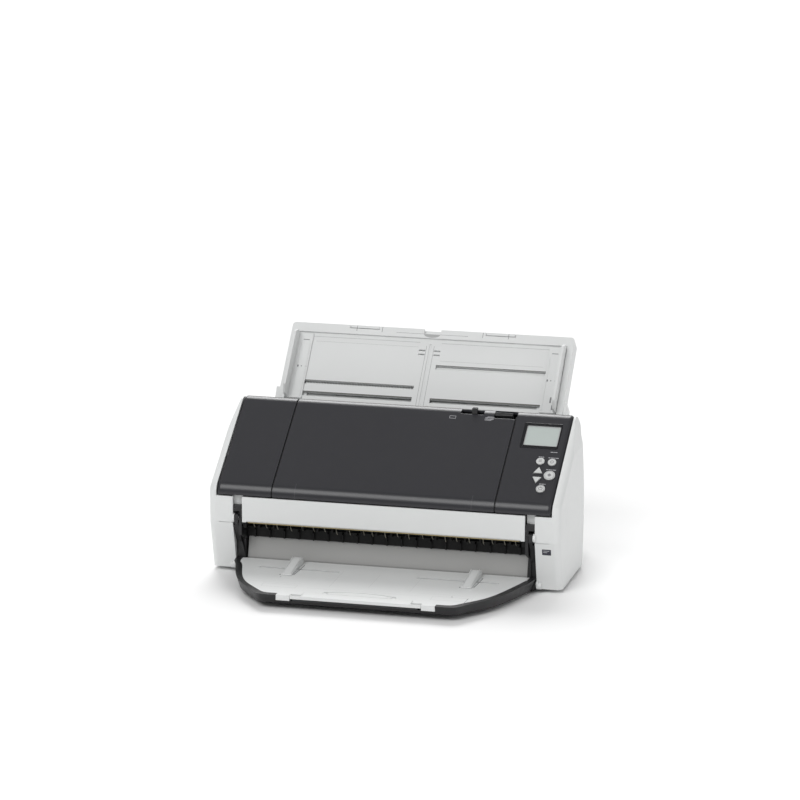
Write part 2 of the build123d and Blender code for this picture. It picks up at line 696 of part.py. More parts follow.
# ---- opening cover: frame, scan unit and rollers -------------------------------------------
END_IN = 149.0
END_OUT = 152.8
BRAKE_C = roller_centre(FEED, above=True, radius=BRAKE_R)
IDLER_C = roller_centre(EXIT, above=True, radius=IDLER_R)
BRAKE_SHAFT_R = 3.0
IDLER_SHAFT_R = 2.5
under_skin = cover_line(SKIN)
end_plate = [
    (-57.0, 51.5), (-57.0, 85.5), under_skin[3], under_skin[4], (51, 160), (52, 150),
    (52, 119.0), (-40, 52.2), (-46, 50.8),
]
with BuildPart() as upper_guide:
    bar(PATH, GUIDE_LOW, GUIDE_HIGH - 4, GAP, GAP + GUIDE_T, -END_IN, END_IN)
    for side in (-1, 1):
        slab(SIDE, end_plate, side * END_IN, side * END_OUT)
    # Cross beam that carries the skins, and the upright ribs at the exit.
    bar(PATH, 20, 105, 29.0, 31.5, -END_IN, END_IN)
    rib = [(-44.5, 49.5), (-54.0, 52.0), (-54.0, 57.8), (-40.0, 57.8), (-37.5, 54.0)]
    for i in range(-9, 10):
        slab(SIDE, rib, (i + 0.5) * RIB_PITCH - 0.8, (i + 0.5) * RIB_PITCH + 0.8)
    bar(SIDE, -54, -40, 57.0, 58.3, -END_IN, END_IN)
    # Two lugs hold the brake roller's shaft.
    for side in (-1, 1):
        lug = rectangle_points(FEED[0] - 6, FEED[0] + 6, GAP, 31)
        slab(PATH, lug, side * 46, side * 49)
        rod(PATH, BRAKE_C, BRAKE_SHAFT_R + RUNNING, side * 45, side * 50, Mode.SUBTRACT)
        x0, x1 = side * (END_IN - 1), side * (END_OUT + 1)
        rod(PATH, IDLER_C, IDLER_SHAFT_R + RUNNING, x0, x1, Mode.SUBTRACT)
        rod(SIDE, (HINGE_Y, HINGE_Z), HINGE_R + RUNNING, x0, x1, Mode.SUBTRACT)
    bar(PATH, GLASS_LOW - 0.5, GLASS_HIGH + 0.5, -1, 9, -146.5, 146.5, Mode.SUBTRACT)
    cut_guide(-1, 4, 10, FEED, TYRE_XS, TYRE_W)
    cut_guide(-1, 14, 8, EXIT, IDLER_XS, IDLER_W)
finish(upper_guide, "upper_guide")

finish(scan_unit(1), "upper_scan_unit")
finish(scan_glass(1), "upper_scan_glass")

with BuildPart() as brake_shaft:
    rod(PATH, BRAKE_C, BRAKE_SHAFT_R, -50.5, 50.5)
finish(brake_shaft, "brake_shaft")
finish(tyres(PATH, BRAKE_C, BRAKE_R, BRAKE_SHAFT_R, TYRE_XS, TYRE_W - 2), "brake_tyres")

with BuildPart() as idler_shaft:
    rod(PATH, IDLER_C, IDLER_SHAFT_R, -151.8, 151.8)
finish(idler_shaft, "idler_shaft")
rings = tyres(PATH, IDLER_C, IDLER_R, IDLER_SHAFT_R, IDLER_XS, IDLER_W - 2)
finish(rings, "idler_rings")

with BuildPart() as selector_knob:
    bar(SIDE, 43, 48, 159, 171.5, KNOB_X - 2.8, KNOB_X + 2.8)
    fillet(selector_knob.faces().sort_by(Axis.Z)[-1].edges(), 0.8)
finish(selector_knob, "selector_knob")

with BuildPart() as release_tab:
    tab = [(45.5, 143.5), (49.0, 143.5), (49.5, 163), (47.5, 167.4), (43.5, 165.2), (45.0, 160)]
    slab(SIDE, tab, TAB_X0, TAB_X1 - 0.2)
    rod(SIDE, TAB_PIVOT, TAB_PIN_R, TAB_X0 - 3.5, TAB_X1 + 3)
finish(release_tab, "release_tab")

# ---- stacker -------------------------------------------------------------------------------
RIM = 7.0
HANDLE_HALF = 69.5
TRAY_MOUTH = 84.5        # half the light part of the tray's front edge


def tray_plate(inset, rear, z):
    """Plan outline of the tray at one height, moved inwards by inset."""
    a = (ARM_OUT - inset, rear)
    b = (159.5 - inset, -66)
    c = (145.5 - inset, -110)
    d = (132.0 - inset, -137)
    e = (114.0 - inset * 0.9, -161 + inset * 0.5)
    f = (97.0 - inset * 0.5, TRAY_FRONT + inset)
    mirrored = [(-x, y) for x, y in (f, e, d, c, b, a)]
    with BuildSketch(Plane.XY.offset(z)) as face:
        with BuildLine():
            Spline(a, b, c, d, e, f, tangents=[(0, -1), (-1, 0)])
            Line(f, mirrored[0])
            Spline(*mirrored, tangents=[(-1, 0), (0, 1)])
            Line(mirrored[-1], a)
        make_face()
    return face.sketch


arm_front = [(-51, TRAY_BOTTOM), (-50, 12), (-45.5, 14), (-45.5, 24), (-46.5, 33), (-55, 48), (-61, 58)]
arm_rear = [(-54, 66.5), (-53.5, 58), (-49.5, 47), (-42, 34), (-40.5, 24), (-40.5, TRAY_BOTTOM)]
arm = arm_front + [(-61, 66.5)] + arm_rear
gusset = [(157.3, 35), (155.4, 29), (153.4, 18), (153.4, TRAY_TOP + 0.1), (157.3, TRAY_TOP + 0.1)]
WEB_LOW = 8.0            # the frame's web, under the extensions
WEB_TOP = 10.2
FRONT_RISE = 3.2         # the rim's underside is this much higher in front
with BuildPart() as stacker_frame:
    loft([tray_plate(4, TRAY_REAR, TRAY_BOTTOM), tray_plate(0, TRAY_REAR, TRAY_TOP)])
    extrude(tray_plate(RIM, TRAY_REAR - 3, WEB_TOP), amount=20, mode=Mode.SUBTRACT)
    extrude(tray_plate(RIM + 4, TRAY_REAR - 3, 0), amount=WEB_LOW, mode=Mode.SUBTRACT)
    wedge = [(TRAY_FRONT - 5, 0), (-70, 0), (-70, TRAY_BOTTOM), (TRAY_FRONT - 5, TRAY_BOTTOM + FRONT_RISE)]
    slab(SIDE, wedge, -170, 170, Mode.SUBTRACT)
    # The mouth in the front edge, and the gap behind it for the rear edge.
    bar(SIDE, TRAY_FRONT - 5, TRAY_FRONT + 12, WEB_TOP, 20, -TRAY_MOUTH, TRAY_MOUTH, Mode.SUBTRACT)
    inner = ARM_OUT - RIM
    bar(SIDE, -60, TRAY_REAR + 5, WEB_TOP, 20, -inner, inner, Mode.SUBTRACT)
    bar(SIDE, -60, TRAY_REAR + 5, 0, WEB_LOW, -inner, inner, Mode.SUBTRACT)
    for side in (-1, 1):
        slab(SIDE, arm, side * ARM_IN, side * ARM_OUT)
        bar(SIDE, -70, -40, 54, 70, side * ARM_NECK, side * (ARM_OUT + 1), Mode.SUBTRACT)
        mirrored = [(side * x, z) for x, z in gusset]
        extrude(outline(Plane.XZ.offset(44.5), mirrored), amount=3.5)
        x0, x1 = side * (ARM_IN - 1), side * (ARM_OUT + 1)
        rod(SIDE, (PIVOT_Y, PIVOT_Z), PIVOT_R + 0.08, x0, x1, Mode.SUBTRACT)
finish(stacker_frame, "stacker_frame")

SLIDER_LEFT = -93.0      # the two side stops, the right one set wider
SLIDER_RIGHT = 100.5
SLIDER_HALF = 5.5
STOP_HALF = 34.0
HANDLE_REAR = TRAY_FRONT + 15.0
HANDLE_NECK = 58.0       # half the handle's width behind its front lip
LIP_T = 2.0
STOP_HINGE_Y = HANDLE_REAR + 2.5
STOP_REAR = HANDLE_REAR + 11.6
STOP_SAG = 5.5           # rise of the arc along the stop's rear edge
STOP_PIN_R = 0.9
STOP_HINGE = (STOP_HINGE_Y, 14.7)
FLOOR_LOW = 13.4         # underside of the tray's floor, and of its thin middle
FLOOR_THIN = 14.6
EXTENSION_1 = (12.6, 14.3)
EXTENSION_2 = (10.5, 12.3)


def stop_plate(half, front, rear, z):
    """Plan outline of the sheet stop, with an arc along its rear edge."""
    with BuildSketch(Plane.XY.offset(z)) as face:
        with BuildLine():
            Polyline((-half, rear - STOP_SAG), (-half, front), (half, front), (half, rear - STOP_SAG))
            ThreePointArc((half, rear - STOP_SAG), (0, rear), (-half, rear - STOP_SAG))
        make_face()
    return face.sketch


with BuildPart() as stacker_floor:
    extrude(tray_plate(RIM + 0.1, TRAY_REAR - 1, FLOOR_LOW), amount=TRAY_TOP - FLOOR_LOW)
    # Room for the extensions under the floor's middle.
    bar(SIDE, -180, -79, FLOOR_LOW - 1, FLOOR_THIN, -HANDLE_HALF - 0.5, HANDLE_HALF + 0.5, Mode.SUBTRACT)
    # Light corners of the front edge, beside the extension's handle.
    for side in (-1, 1):
        x0, x1 = side * (HANDLE_HALF + 0.4), side * (TRAY_MOUTH - 0.1)
        bar(SIDE, TRAY_FRONT + 0.6, -157, WEB_TOP + 0.1, TRAY_TOP, x0, x1)
    # Room for the extension's handle and for the stop behind it.
    half = HANDLE_HALF + 0.4
    bar(SIDE, -180, TRAY_FRONT + LIP_T + 0.3, 5, 20, -half, half, Mode.SUBTRACT)
    half = HANDLE_NECK + 0.4
    bar(SIDE, -180, HANDLE_REAR + 0.3, 5, 20, -half, half, Mode.SUBTRACT)
    half = STOP_HALF + 4.7
    extrude(stop_plate(half, HANDLE_REAR - 1, STOP_REAR + 0.8, 5), amount=15, mode=Mode.SUBTRACT)
    # Slots that guide the two side stops.
    for side in (-1, 1):
        bar(SIDE, -78.5, -74.5, 5, 20, side * 42, side * 130, Mode.SUBTRACT)
finish(stacker_floor, "stacker_floor")

with BuildPart() as stacker_extension_1:
    bar(SIDE, TRAY_FRONT + 0.3, -80, *EXTENSION_1, -HANDLE_HALF, HANDLE_HALF)
    bar(SIDE, TRAY_FRONT + 0.3, TRAY_FRONT + LIP_T, EXTENSION_1[0], TRAY_TOP, -HANDLE_HALF, HANDLE_HALF)
    bar(SIDE, TRAY_FRONT + 0.3, HANDLE_REAR, EXTENSION_1[0], TRAY_TOP, -HANDLE_NECK, HANDLE_NECK)
    # Room for the stop to swing, and its bearings at either end.
    rod(SIDE, STOP_HINGE, 2.2, -STOP_HALF - 0.8, STOP_HALF + 0.8, Mode.SUBTRACT)
    for side in (-1, 1):
        x0, x1 = side * (STOP_HALF + 0.8), side * (STOP_HALF + 4.2)
        bar(SIDE, HANDLE_REAR - 0.1, STOP_HINGE_Y + 1.8, 13.0, TRAY_TOP, x0, x1)
        rod(SIDE, STOP_HINGE, STOP_PIN_R + RUNNING, side * STOP_HALF, x1, Mode.SUBTRACT)
finish(stacker_extension_1, "stacker_extension_1")

with BuildPart() as stacker_extension_2:
    bar(SIDE, TRAY_FRONT + 0.3, -95, *EXTENSION_2, -HANDLE_HALF + 3, HANDLE_HALF - 3)
finish(stacker_extension_2, "stacker_extension_2")

with BuildPart() as stacker_stopper:
    extrude(stop_plate(STOP_HALF, STOP_HINGE_Y - 1.2, STOP_REAR, 14.45), amount=1.45)
    rod(SIDE, STOP_HINGE, STOP_PIN_R, -STOP_HALF - 3.8, STOP_HALF + 3.8)
finish(stacker_stopper, "stacker_stopper")


def stacker_guide(x):
    """A wedge that stops the sheets sideways; its foot runs in the floor's slot."""
    wedge = [(-102, TRAY_TOP + 0.3), (-102, TRAY_TOP + 1.4), (-58, 23), (-53, 22), (-53, TRAY_TOP + 0.3)]
    with BuildPart() as guide:
        slab(SIDE, wedge, x - SLIDER_HALF, x + SLIDER_HALF)
        bar(SIDE, -78.2, -74.8, 13.5, TRAY_TOP + 0.5, x - 4, x + 4)
    return guide


finish(stacker_guide(SLIDER_LEFT), "stacker_guide_left")
finish(stacker_guide(SLIDER_RIGHT), "stacker_guide_right")

# ---- paper chute ---------------------------------------------------------------------------
FRAME_UP = 2.0           # the chute's border stands this far over the paper surface
PLATE_DOWN = -2.5
RACK_TOP = -2.9
RACK_LOW_N = -5.6
EXT_1 = (-9.2, -6.1)
EXT_2 = (-12.5, -9.5)
EXT_TAB = (60.0, 92.0)
SLOT_END = 139.5
SLOT_HALF = 2.2
PINION_BORE = 3.0


def face_slot(x0, x1, s, half=SLOT_HALF):
    """A straight slot through the chute's plate, along X."""
    bar(CHUTE, s - half, s + half, -6, 6, x0, x1, Mode.SUBTRACT)


with BuildPart() as chute_plate:
    bar(CHUTE, CHUTE_LOW, CHUTE_TOP, PLATE_DOWN, FRAME_UP, -CHUTE_HALF, CHUTE_HALF)
    bar(CHUTE, CHUTE_LOW - 1, 76.5, 0, 9, -151, 151, Mode.SUBTRACT)
    fillet(chute_plate.edges().filter_by(Axis(origin=(0, 0, 0), direction=chute_n)).group_by(Axis.Z)[-1], 4)
    face_slot(-SLOT_END, -10, 0)
    face_slot(10, SLOT_END, 0)
    face_slot(-SLOT_END, -10, RACK_LOW)
    face_slot(10, SLOT_END, RACK_HIGH)
    # Finger notch, the centre groove, two pairs of short slits and the extension's notches.
    bar(CHUTE, 82, 90, -6, 6, -9.4, 9.4, Mode.SUBTRACT)
    bar(CHUTE, CHUTE_LOW - 1, 70, -0.8, 3, -1.2, 1.2, Mode.SUBTRACT)
    for side in (-1, 1):
        for s in (57, 62):
            x0 = side * 5
            bar(CHUTE, s - 0.8, s + 0.8, -6, 3, x0, x0 + side * 7, Mode.SUBTRACT)
        x0, x1 = side * (EXT_TAB[0] - 0.6), side * (EXT_TAB[1] + 0.6)
        bar(CHUTE, 83.5, 90, -6, 6, x0, x1, Mode.SUBTRACT)
    # Post that the racks' pinion turns on.
    with BuildSketch(CHUTE_FACE.offset(PLATE_DOWN)):
        with Locations((0, PINION_AT)):
            Circle(PINION_BORE)
    extrude(amount=RACK_LOW_N - PLATE_DOWN)
finish(chute_plate, "chute_plate")

with BuildPart() as chute_back:
    bar(CHUTE, CHUTE_LOW, CHUTE_TOP, CHUTE_BACK_N, PLATE_DOWN - 0.05, -CHUTE_HALF, CHUTE_HALF)
    top_edges = chute_back.edges().filter_by(Axis(origin=(0, 0, 0), direction=chute_n))
    fillet(top_edges.group_by(Axis.Z)[-1], 4)
    bar(CHUTE, -5, 51, RACK_LOW_N - 0.3, 0, -152, 152, Mode.SUBTRACT)
    bar(CHUTE, 3, 95, EXT_1[0] - 0.2, EXT_1[1] + 0.2, -97, 97, Mode.SUBTRACT)
    bar(CHUTE, 8, 95, EXT_2[0] - 0.2, EXT_2[1] + 0.2, -82, 82, Mode.SUBTRACT)
    for side in (-1, 1):
        x0, x1 = side * (EXT_TAB[0] - 0.6), side * (EXT_TAB[1] + 0.6)
        bar(CHUTE, 80, 95, EXT_1[0], 0, x0, x1, Mode.SUBTRACT)
    # Two cheeks that stand on the rear cover's sloping roof.
    cheek = [
        (99, 129.5), (99, 153), side_point(CHUTE, 6, FRAME_UP),
        side_point(CHUTE, 6, CHUTE_BACK_N), (118.1, 150.8),
    ]
    for side in (-1, 1):
        slab(SIDE, cheek, side * CHUTE_HALF, side * (CHUTE_HALF + 3.8))
finish(chute_back, "chute_back")

TOOTH_PITCH = 2 * pi * PINION_R / PINION_TEETH
with BuildPart() as chute_pinion:
    with BuildSketch(CHUTE_FACE.offset(RACK_LOW_N)):
        with Locations((0, PINION_AT)):
            Circle(PINION_R - 0.9)
            with PolarLocations(PINION_R - 0.2, PINION_TEETH):
                Rectangle(1.7, 0.9)
            Circle(PINION_BORE + RUNNING, mode=Mode.SUBTRACT)
    extrude(amount=RACK_TOP - RACK_LOW_N)
finish(chute_pinion, "chute_pinion")

GUIDE_IN = 132.0
GUIDE_OUT = 150.4
FENCE_H = 17.0
NECK = (133.5, 137.5)
RACK_T = 2.6


def chute_guide(side, rack_s, teeth_up):
    """A sliding side guide with the rack that ties it to its twin."""
    with BuildPart() as guide:
        bar(CHUTE, -6, 74.5, 0.4, 1.5, side * GUIDE_IN, side * GUIDE_OUT)
        fence = [(-6, 0.4), (74.5, 0.4), (74.5, 9), (68, FENCE_H), (2, FENCE_H), (-6, 11)]
        slab(CHUTE, fence, side * (GUIDE_OUT - 2.6), side * GUIDE_OUT)
        # Necks through the plate's slots.
        for s in (0, rack_s):
            bar(CHUTE, s - 1.6, s + 1.6, RACK_LOW_N, 0.6, side * NECK[0], side * NECK[1])
        bar(CHUTE, -3.5, 3.5, RACK_LOW_N, RACK_TOP, side * 128, side * 143)
        # The rack, with its teeth towards the pinion.
        root = PINION_AT + teeth_up * (PINION_R + 0.9)
        s0, s1 = sorted((root, root + teeth_up * RACK_T))
        bar(CHUTE, s0, s1, RACK_LOW_N, RACK_TOP, side * NECK[1], -side * 6)
        count = int((NECK[1] + 2) / TOOTH_PITCH)
        for i in range(count):
            x = side * TOOTH_PITCH * (i - 1.5)
            t0, t1 = sorted((root, root - teeth_up * 1.3))
            bar(CHUTE, t0, t1, RACK_LOW_N, RACK_TOP, x - 0.5, x + 0.5)
    return guide


finish(chute_guide(-1, RACK_LOW, -1), "chute_guide_left")
finish(chute_guide(1, RACK_HIGH, 1), "chute_guide_right")

with BuildPart() as chute_extension_1:
    bar(CHUTE, 5, 82, EXT_1[0], EXT_1[1], -96, 96)
    for side in (-1, 1):
        x0, x1 = side * EXT_TAB[0], side * EXT_TAB[1]
        bar(CHUTE, 80.5, CHUTE_TOP, EXT_1[0], EXT_1[1], x0, x1)
        bar(CHUTE, 84.3, CHUTE_TOP, EXT_1[0], FRAME_UP, x0, x1)
finish(chute_extension_1, "chute_extension_1")

with BuildPart() as chute_extension_2:
    bar(CHUTE, 10, 86, EXT_2[0], EXT_2[1], -81, 81)
finish(chute_extension_2, "chute_extension_2")
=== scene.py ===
"""Looks of the sheet fed document scanner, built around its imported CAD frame. Metres, +Z up."""
import json
import math
import random

import bmesh
import bpy
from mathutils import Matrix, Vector


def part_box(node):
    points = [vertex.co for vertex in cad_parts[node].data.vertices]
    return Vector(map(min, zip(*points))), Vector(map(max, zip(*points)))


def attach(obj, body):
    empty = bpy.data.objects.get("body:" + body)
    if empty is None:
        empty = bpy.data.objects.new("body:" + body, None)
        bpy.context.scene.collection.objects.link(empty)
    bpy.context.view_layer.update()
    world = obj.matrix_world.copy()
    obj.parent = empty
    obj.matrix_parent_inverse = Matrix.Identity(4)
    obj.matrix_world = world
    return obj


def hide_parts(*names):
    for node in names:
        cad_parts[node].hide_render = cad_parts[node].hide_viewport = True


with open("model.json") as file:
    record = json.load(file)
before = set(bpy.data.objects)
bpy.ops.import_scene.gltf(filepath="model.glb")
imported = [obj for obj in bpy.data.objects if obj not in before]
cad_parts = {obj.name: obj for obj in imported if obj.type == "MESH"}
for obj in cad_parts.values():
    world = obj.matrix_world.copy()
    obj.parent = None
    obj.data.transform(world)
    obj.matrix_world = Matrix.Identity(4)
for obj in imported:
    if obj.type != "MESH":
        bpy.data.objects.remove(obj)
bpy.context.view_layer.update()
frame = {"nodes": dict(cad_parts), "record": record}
nodes = frame["nodes"]
MM = 0.001


# ---- materials ----------------------------------------------------------------------------
class Surface:
    """A procedural material: base colour, gloss and bump all come from nodes in object space."""

    def __init__(self, name, color, rough, tone=0.04, grain=0.0006, depth=0.00002, wear=0.0,
                 metallic=0.0, stretch=(1, 1, 1), edge=0.0004, dust=0.0, spec=0.5, vary=0.055):
        self.material = bpy.data.materials.new(name)
        self.material.use_nodes = True
        self.tree = self.material.node_tree
        self.shader = self.tree.nodes["Principled BSDF"]
        place = self.add("ShaderNodeTexCoord")
        self.point = place.outputs["Object"]
        drift = self.noise(9, 4)
        fine = self.noise(1 / grain, 2, stretch)
        gloss = self.noise(170, 3, stretch)
        deep = [c * (1 - tone) for c in color]
        pale = [min(1.0, c * (1 + tone)) for c in color]
        shade = self.mix(self.ramp(drift, 0.3, 0.7), deep, pale)
        shade = self.mix(self.ramp(fine, 0.35, 0.75, 0, 0.35), shade, [c * (1 - 2 * tone) for c in color])
        if dust:
            settled = self.math("MULTIPLY", self.upward(), self.ramp(self.noise(40, 5), 0.35, 0.8))
            shade = self.mix(self.math("MULTIPLY", settled, dust), shade, (0.42, 0.41, 0.39))
        rough_value = self.ramp(gloss, 0.3, 0.7, rough - vary, rough + vary)
        if wear:
            rubbed = self.math("MULTIPLY", self.edges(edge), self.ramp(self.noise(300, 4), 0.35, 0.65))
            pale_edge = [min(1.0, c * 1.35 + 0.02) for c in color]
            shade = self.mix(self.math("MULTIPLY", rubbed, wear), shade, pale_edge)
            rough_value = self.math("SUBTRACT", rough_value, self.math("MULTIPLY", rubbed, 0.12))
        self.link(shade, self.shader.inputs["Base Color"])
        self.link(rough_value, self.shader.inputs["Roughness"])
        bump = self.add("ShaderNodeBump")
        bump.inputs["Strength"].default_value = 0.6
        bump.inputs["Distance"].default_value = depth
        self.link(fine, bump.inputs["Height"])
        if edge:
            self.link(self.soft_edge(edge), bump.inputs["Normal"])
        self.link(bump.outputs["Normal"], self.shader.inputs["Normal"])
        self.shader.inputs["Metallic"].default_value = metallic
        self.shader.inputs["Specular IOR Level"].default_value = spec

    def add(self, kind):
        """A new node of that kind."""
        return self.tree.nodes.new(kind)

    def link(self, source, socket):
        """Joins an output to an input."""
        self.tree.links.new(source, socket)

    def noise(self, scale, detail, stretch=(1, 1, 1)):
        """Noise in object space, which stretch squeezes along each axis."""
        mapping = self.add("ShaderNodeMapping")
        mapping.inputs["Scale"].default_value = stretch
        self.link(self.point, mapping.inputs["Vector"])
        texture = self.add("ShaderNodeTexNoise")
        texture.inputs["Scale"].default_value = scale
        texture.inputs["Detail"].default_value = detail
        self.link(mapping.outputs["Vector"], texture.inputs["Vector"])
        return texture.outputs["Fac"]

    def ramp(self, value, from_low, from_high, low=0.0, high=1.0):
        """The value mapped from one range to another."""
        node = self.add("ShaderNodeMapRange")
        ends = (("From Min", from_low), ("From Max", from_high), ("To Min", low), ("To Max", high))
        for socket, number in ends:
            node.inputs[socket].default_value = number
        self.link(value, node.inputs["Value"])
        return node.outputs["Result"]

    def math(self, kind, a, b):
        """One sum on two values, each an output or a number."""
        node = self.add("ShaderNodeMath")
        node.operation = kind
        for socket, value in ((node.inputs[0], a), (node.inputs[1], b)):
            if isinstance(value, (int, float)):
                socket.default_value = value
            else:
                self.link(value, socket)
        return node.outputs["Value"]

    def mix(self, factor, a, b):
        """From colour a to colour b as the factor goes from 0 to 1."""
        node = self.add("ShaderNodeMix")
        node.data_type = "RGBA"
        self.link(factor, node.inputs[0])
        for socket, value in ((node.inputs[6], a), (node.inputs[7], b)):
            if isinstance(value, (list, tuple)):
                socket.default_value = list(value) + [1]
            else:
                self.link(value, socket)
        return node.outputs[2]

    def soft_edge(self, radius):
        """The surface direction with its edges rounded to that radius."""
        bevel = self.add("ShaderNodeBevel")
        bevel.samples = 4
        bevel.inputs["Radius"].default_value = radius
        return bevel.outputs["Normal"]

    def edges(self, radius):
        """1 along sharp edges, 0 on flat faces."""
        flat = self.add("ShaderNodeNewGeometry")
        dot = self.add("ShaderNodeVectorMath")
        dot.operation = "DOT_PRODUCT"
        self.link(self.soft_edge(radius * 2), dot.inputs[0])
        self.link(flat.outputs["Normal"], dot.inputs[1])
        return self.ramp(dot.outputs["Value"], 0.98, 0.8)

    def upward(self):
        """1 on faces that look up."""
        flat = self.add("ShaderNodeNewGeometry")
        split = self.add("ShaderNodeSeparateXYZ")
        self.link(flat.outputs["Normal"], split.inputs["Vector"])
        return self.ramp(split.outputs["Z"], 0.5, 1.0)


LIGHT = (0.74, 0.752, 0.748)
DARK = (0.022, 0.022, 0.0265)
light = Surface("light_plastic", LIGHT, 0.44, tone=0.015, depth=0.000012, wear=0.25, dust=0.02).material
dark = Surface("dark_plastic", DARK, 0.29, tone=0.03, depth=0.000002, wear=0.3, edge=0.0005, dust=0.003,
               vary=0.012).material
black = Surface("black_plastic", (0.012, 0.012, 0.013), 0.4, tone=0.12, wear=0.4).material
# Painted shade: a darker, duller black for the paper guides deep in the exit slot.
painted_shade_black = Surface("painted_shade_black_plastic", (0.006, 0.006, 0.006), 0.5, tone=0.2, wear=0.2, spec=0.25).material
grey = Surface("grey_plastic", (0.4, 0.4, 0.392), 0.4, tone=0.04, wear=0.3).material
key_grey = Surface("button_grey", (0.6, 0.61, 0.605), 0.38, tone=0.03, wear=0.3, edge=0.0003).material
gloss_black = Surface("gloss_black", (0.008, 0.008, 0.01), 0.1, depth=0.000002, wear=0.3).material
screen_paint = Surface("screen", (0.5, 0.55, 0.53), 0.16, tone=0.02, depth=0.000001, edge=0).material
steel = Surface("steel", (0.5, 0.5, 0.51), 0.28, tone=0.1, metallic=1.0, stretch=(0.1, 6, 6),
                wear=0.3).material
zinc = Surface("zinc_steel", (0.62, 0.6, 0.55), 0.34, tone=0.1, metallic=1.0, wear=0.3).material
tyre = Surface("roller_rubber", (0.1, 0.105, 0.115), 0.7, tone=0.12, depth=0.00006, wear=0.4).material
foot = Surface("foot_rubber", (0.02, 0.02, 0.021), 0.75, tone=0.2, depth=0.00006, wear=0.5, dust=0.1).material
board = Surface("circuit_board", (0.015, 0.12, 0.05), 0.3, tone=0.25, grain=0.002, wear=0.2).material
pale_line = Surface("pale_line", (0.6, 0.605, 0.605), 0.5, tone=0.03, edge=0).material
brass = Surface("gold_strip", (0.42, 0.34, 0.17), 0.4, tone=0.1, wear=0.2).material
seam_grey = Surface("seam_grey", (0.075, 0.075, 0.082), 0.4, tone=0.05, edge=0).material
amber = Surface("amber_plastic", (0.2, 0.19, 0.155), 0.35, tone=0.2, wear=0.3).material
print_pale = Surface("pale_print", (0.48, 0.48, 0.5), 0.5, tone=0.05, edge=0).material
# Print, also painted shade in the gaps beside the tray's side stops.
print_and_shade_grey = Surface("grey_print_and_shade", (0.2, 0.2, 0.21), 0.5, tone=0.05, edge=0).material
# Moulded lines, also painted shade at the chute's centre rib and finger grip.
line_and_shade_grey = Surface("moulded_line_and_painted_shade", (0.42, 0.425, 0.425), 0.55, tone=0.05, edge=0).material
slot_shade = Surface("slot_shade", (0.11, 0.11, 0.105), 0.6, tone=0.1, edge=0).material
label = Surface("label_film", (0.03, 0.03, 0.045), 0.3, tone=0.1, depth=0.000004).material
glass_surface = Surface("scan_glass", (0.82, 0.9, 0.9), 0.06, tone=0.01, depth=0.000001, edge=0)
glass_surface.shader.inputs["Transmission Weight"].default_value = 0.9
scan_glass = glass_surface.material

by_slot = {
    "light_plastic": light, "dark_plastic": dark, "black_plastic": black, "grey_plastic": grey,
    "button_grey": key_grey, "gloss_black": gloss_black, "screen": screen_paint, "steel": steel,
    "zinc_steel": zinc, "roller_rubber": tyre, "foot_rubber": foot, "circuit_board": board,
    "scan_glass": scan_glass,
}
slot_of = {row["node"]: row["material_slot"] for row in frame["record"]["subparts"]}
for name, obj in nodes.items():
    obj.data.materials.clear()
    # The paper guides inside the exit slot get the darker black as painted shade.
    inside = name in ("upper_guide", "lower_guide")
    obj.data.materials.append(painted_shade_black if inside else by_slot[slot_of[name]])


# ---- pieces -------------------------------------------------------------------------------
class Face:
    """A flat reference on the object: a point, two directions in it and the way out."""

    def __init__(self, origin, u, v):
        self.origin = Vector(origin)
        self.u = Vector(u).normalized()
        self.v = Vector(v).normalized()
        self.n = self.u.cross(self.v)

    def at(self, a, b, c=0.0):
        """Point a, b in the plane and c out of it, all in millimetres."""
        return self.origin + (self.u * a + self.v * b + self.n * c) * MM


LINE = 0.05              # height of printed marks and moulded lines
FAINT = 0.03             # height of the faintest ones
SUNK = -0.05             # and how far both start under the surface


def bar_shape(a0, a1, b0, b1, round_mm=0.0, steps=4):
    """Corner points of a rectangle with rounded corners."""
    r = min(round_mm, abs(a1 - a0) / 2, abs(b1 - b0) / 2)
    if r <= 0:
        return [(a0, b0), (a1, b0), (a1, b1), (a0, b1)]
    points = []
    corners = ((a1 - r, b1 - r, 0), (a0 + r, b1 - r, 90), (a0 + r, b0 + r, 180), (a1 - r, b0 + r, 270))
    for ca, cb, turn in corners:
        for i in range(steps + 1):
            angle = math.radians(turn + 90 * i / steps)
            points.append((ca + r * math.cos(angle), cb + r * math.sin(angle)))
    return points


def disc_shape(a, b, radius, count=28):
    """Corner points of a circle."""
    return [
        (a + radius * math.cos(2 * math.pi * i / count), b + radius * math.sin(2 * math.pi * i / count))
        for i in range(count)
    ]


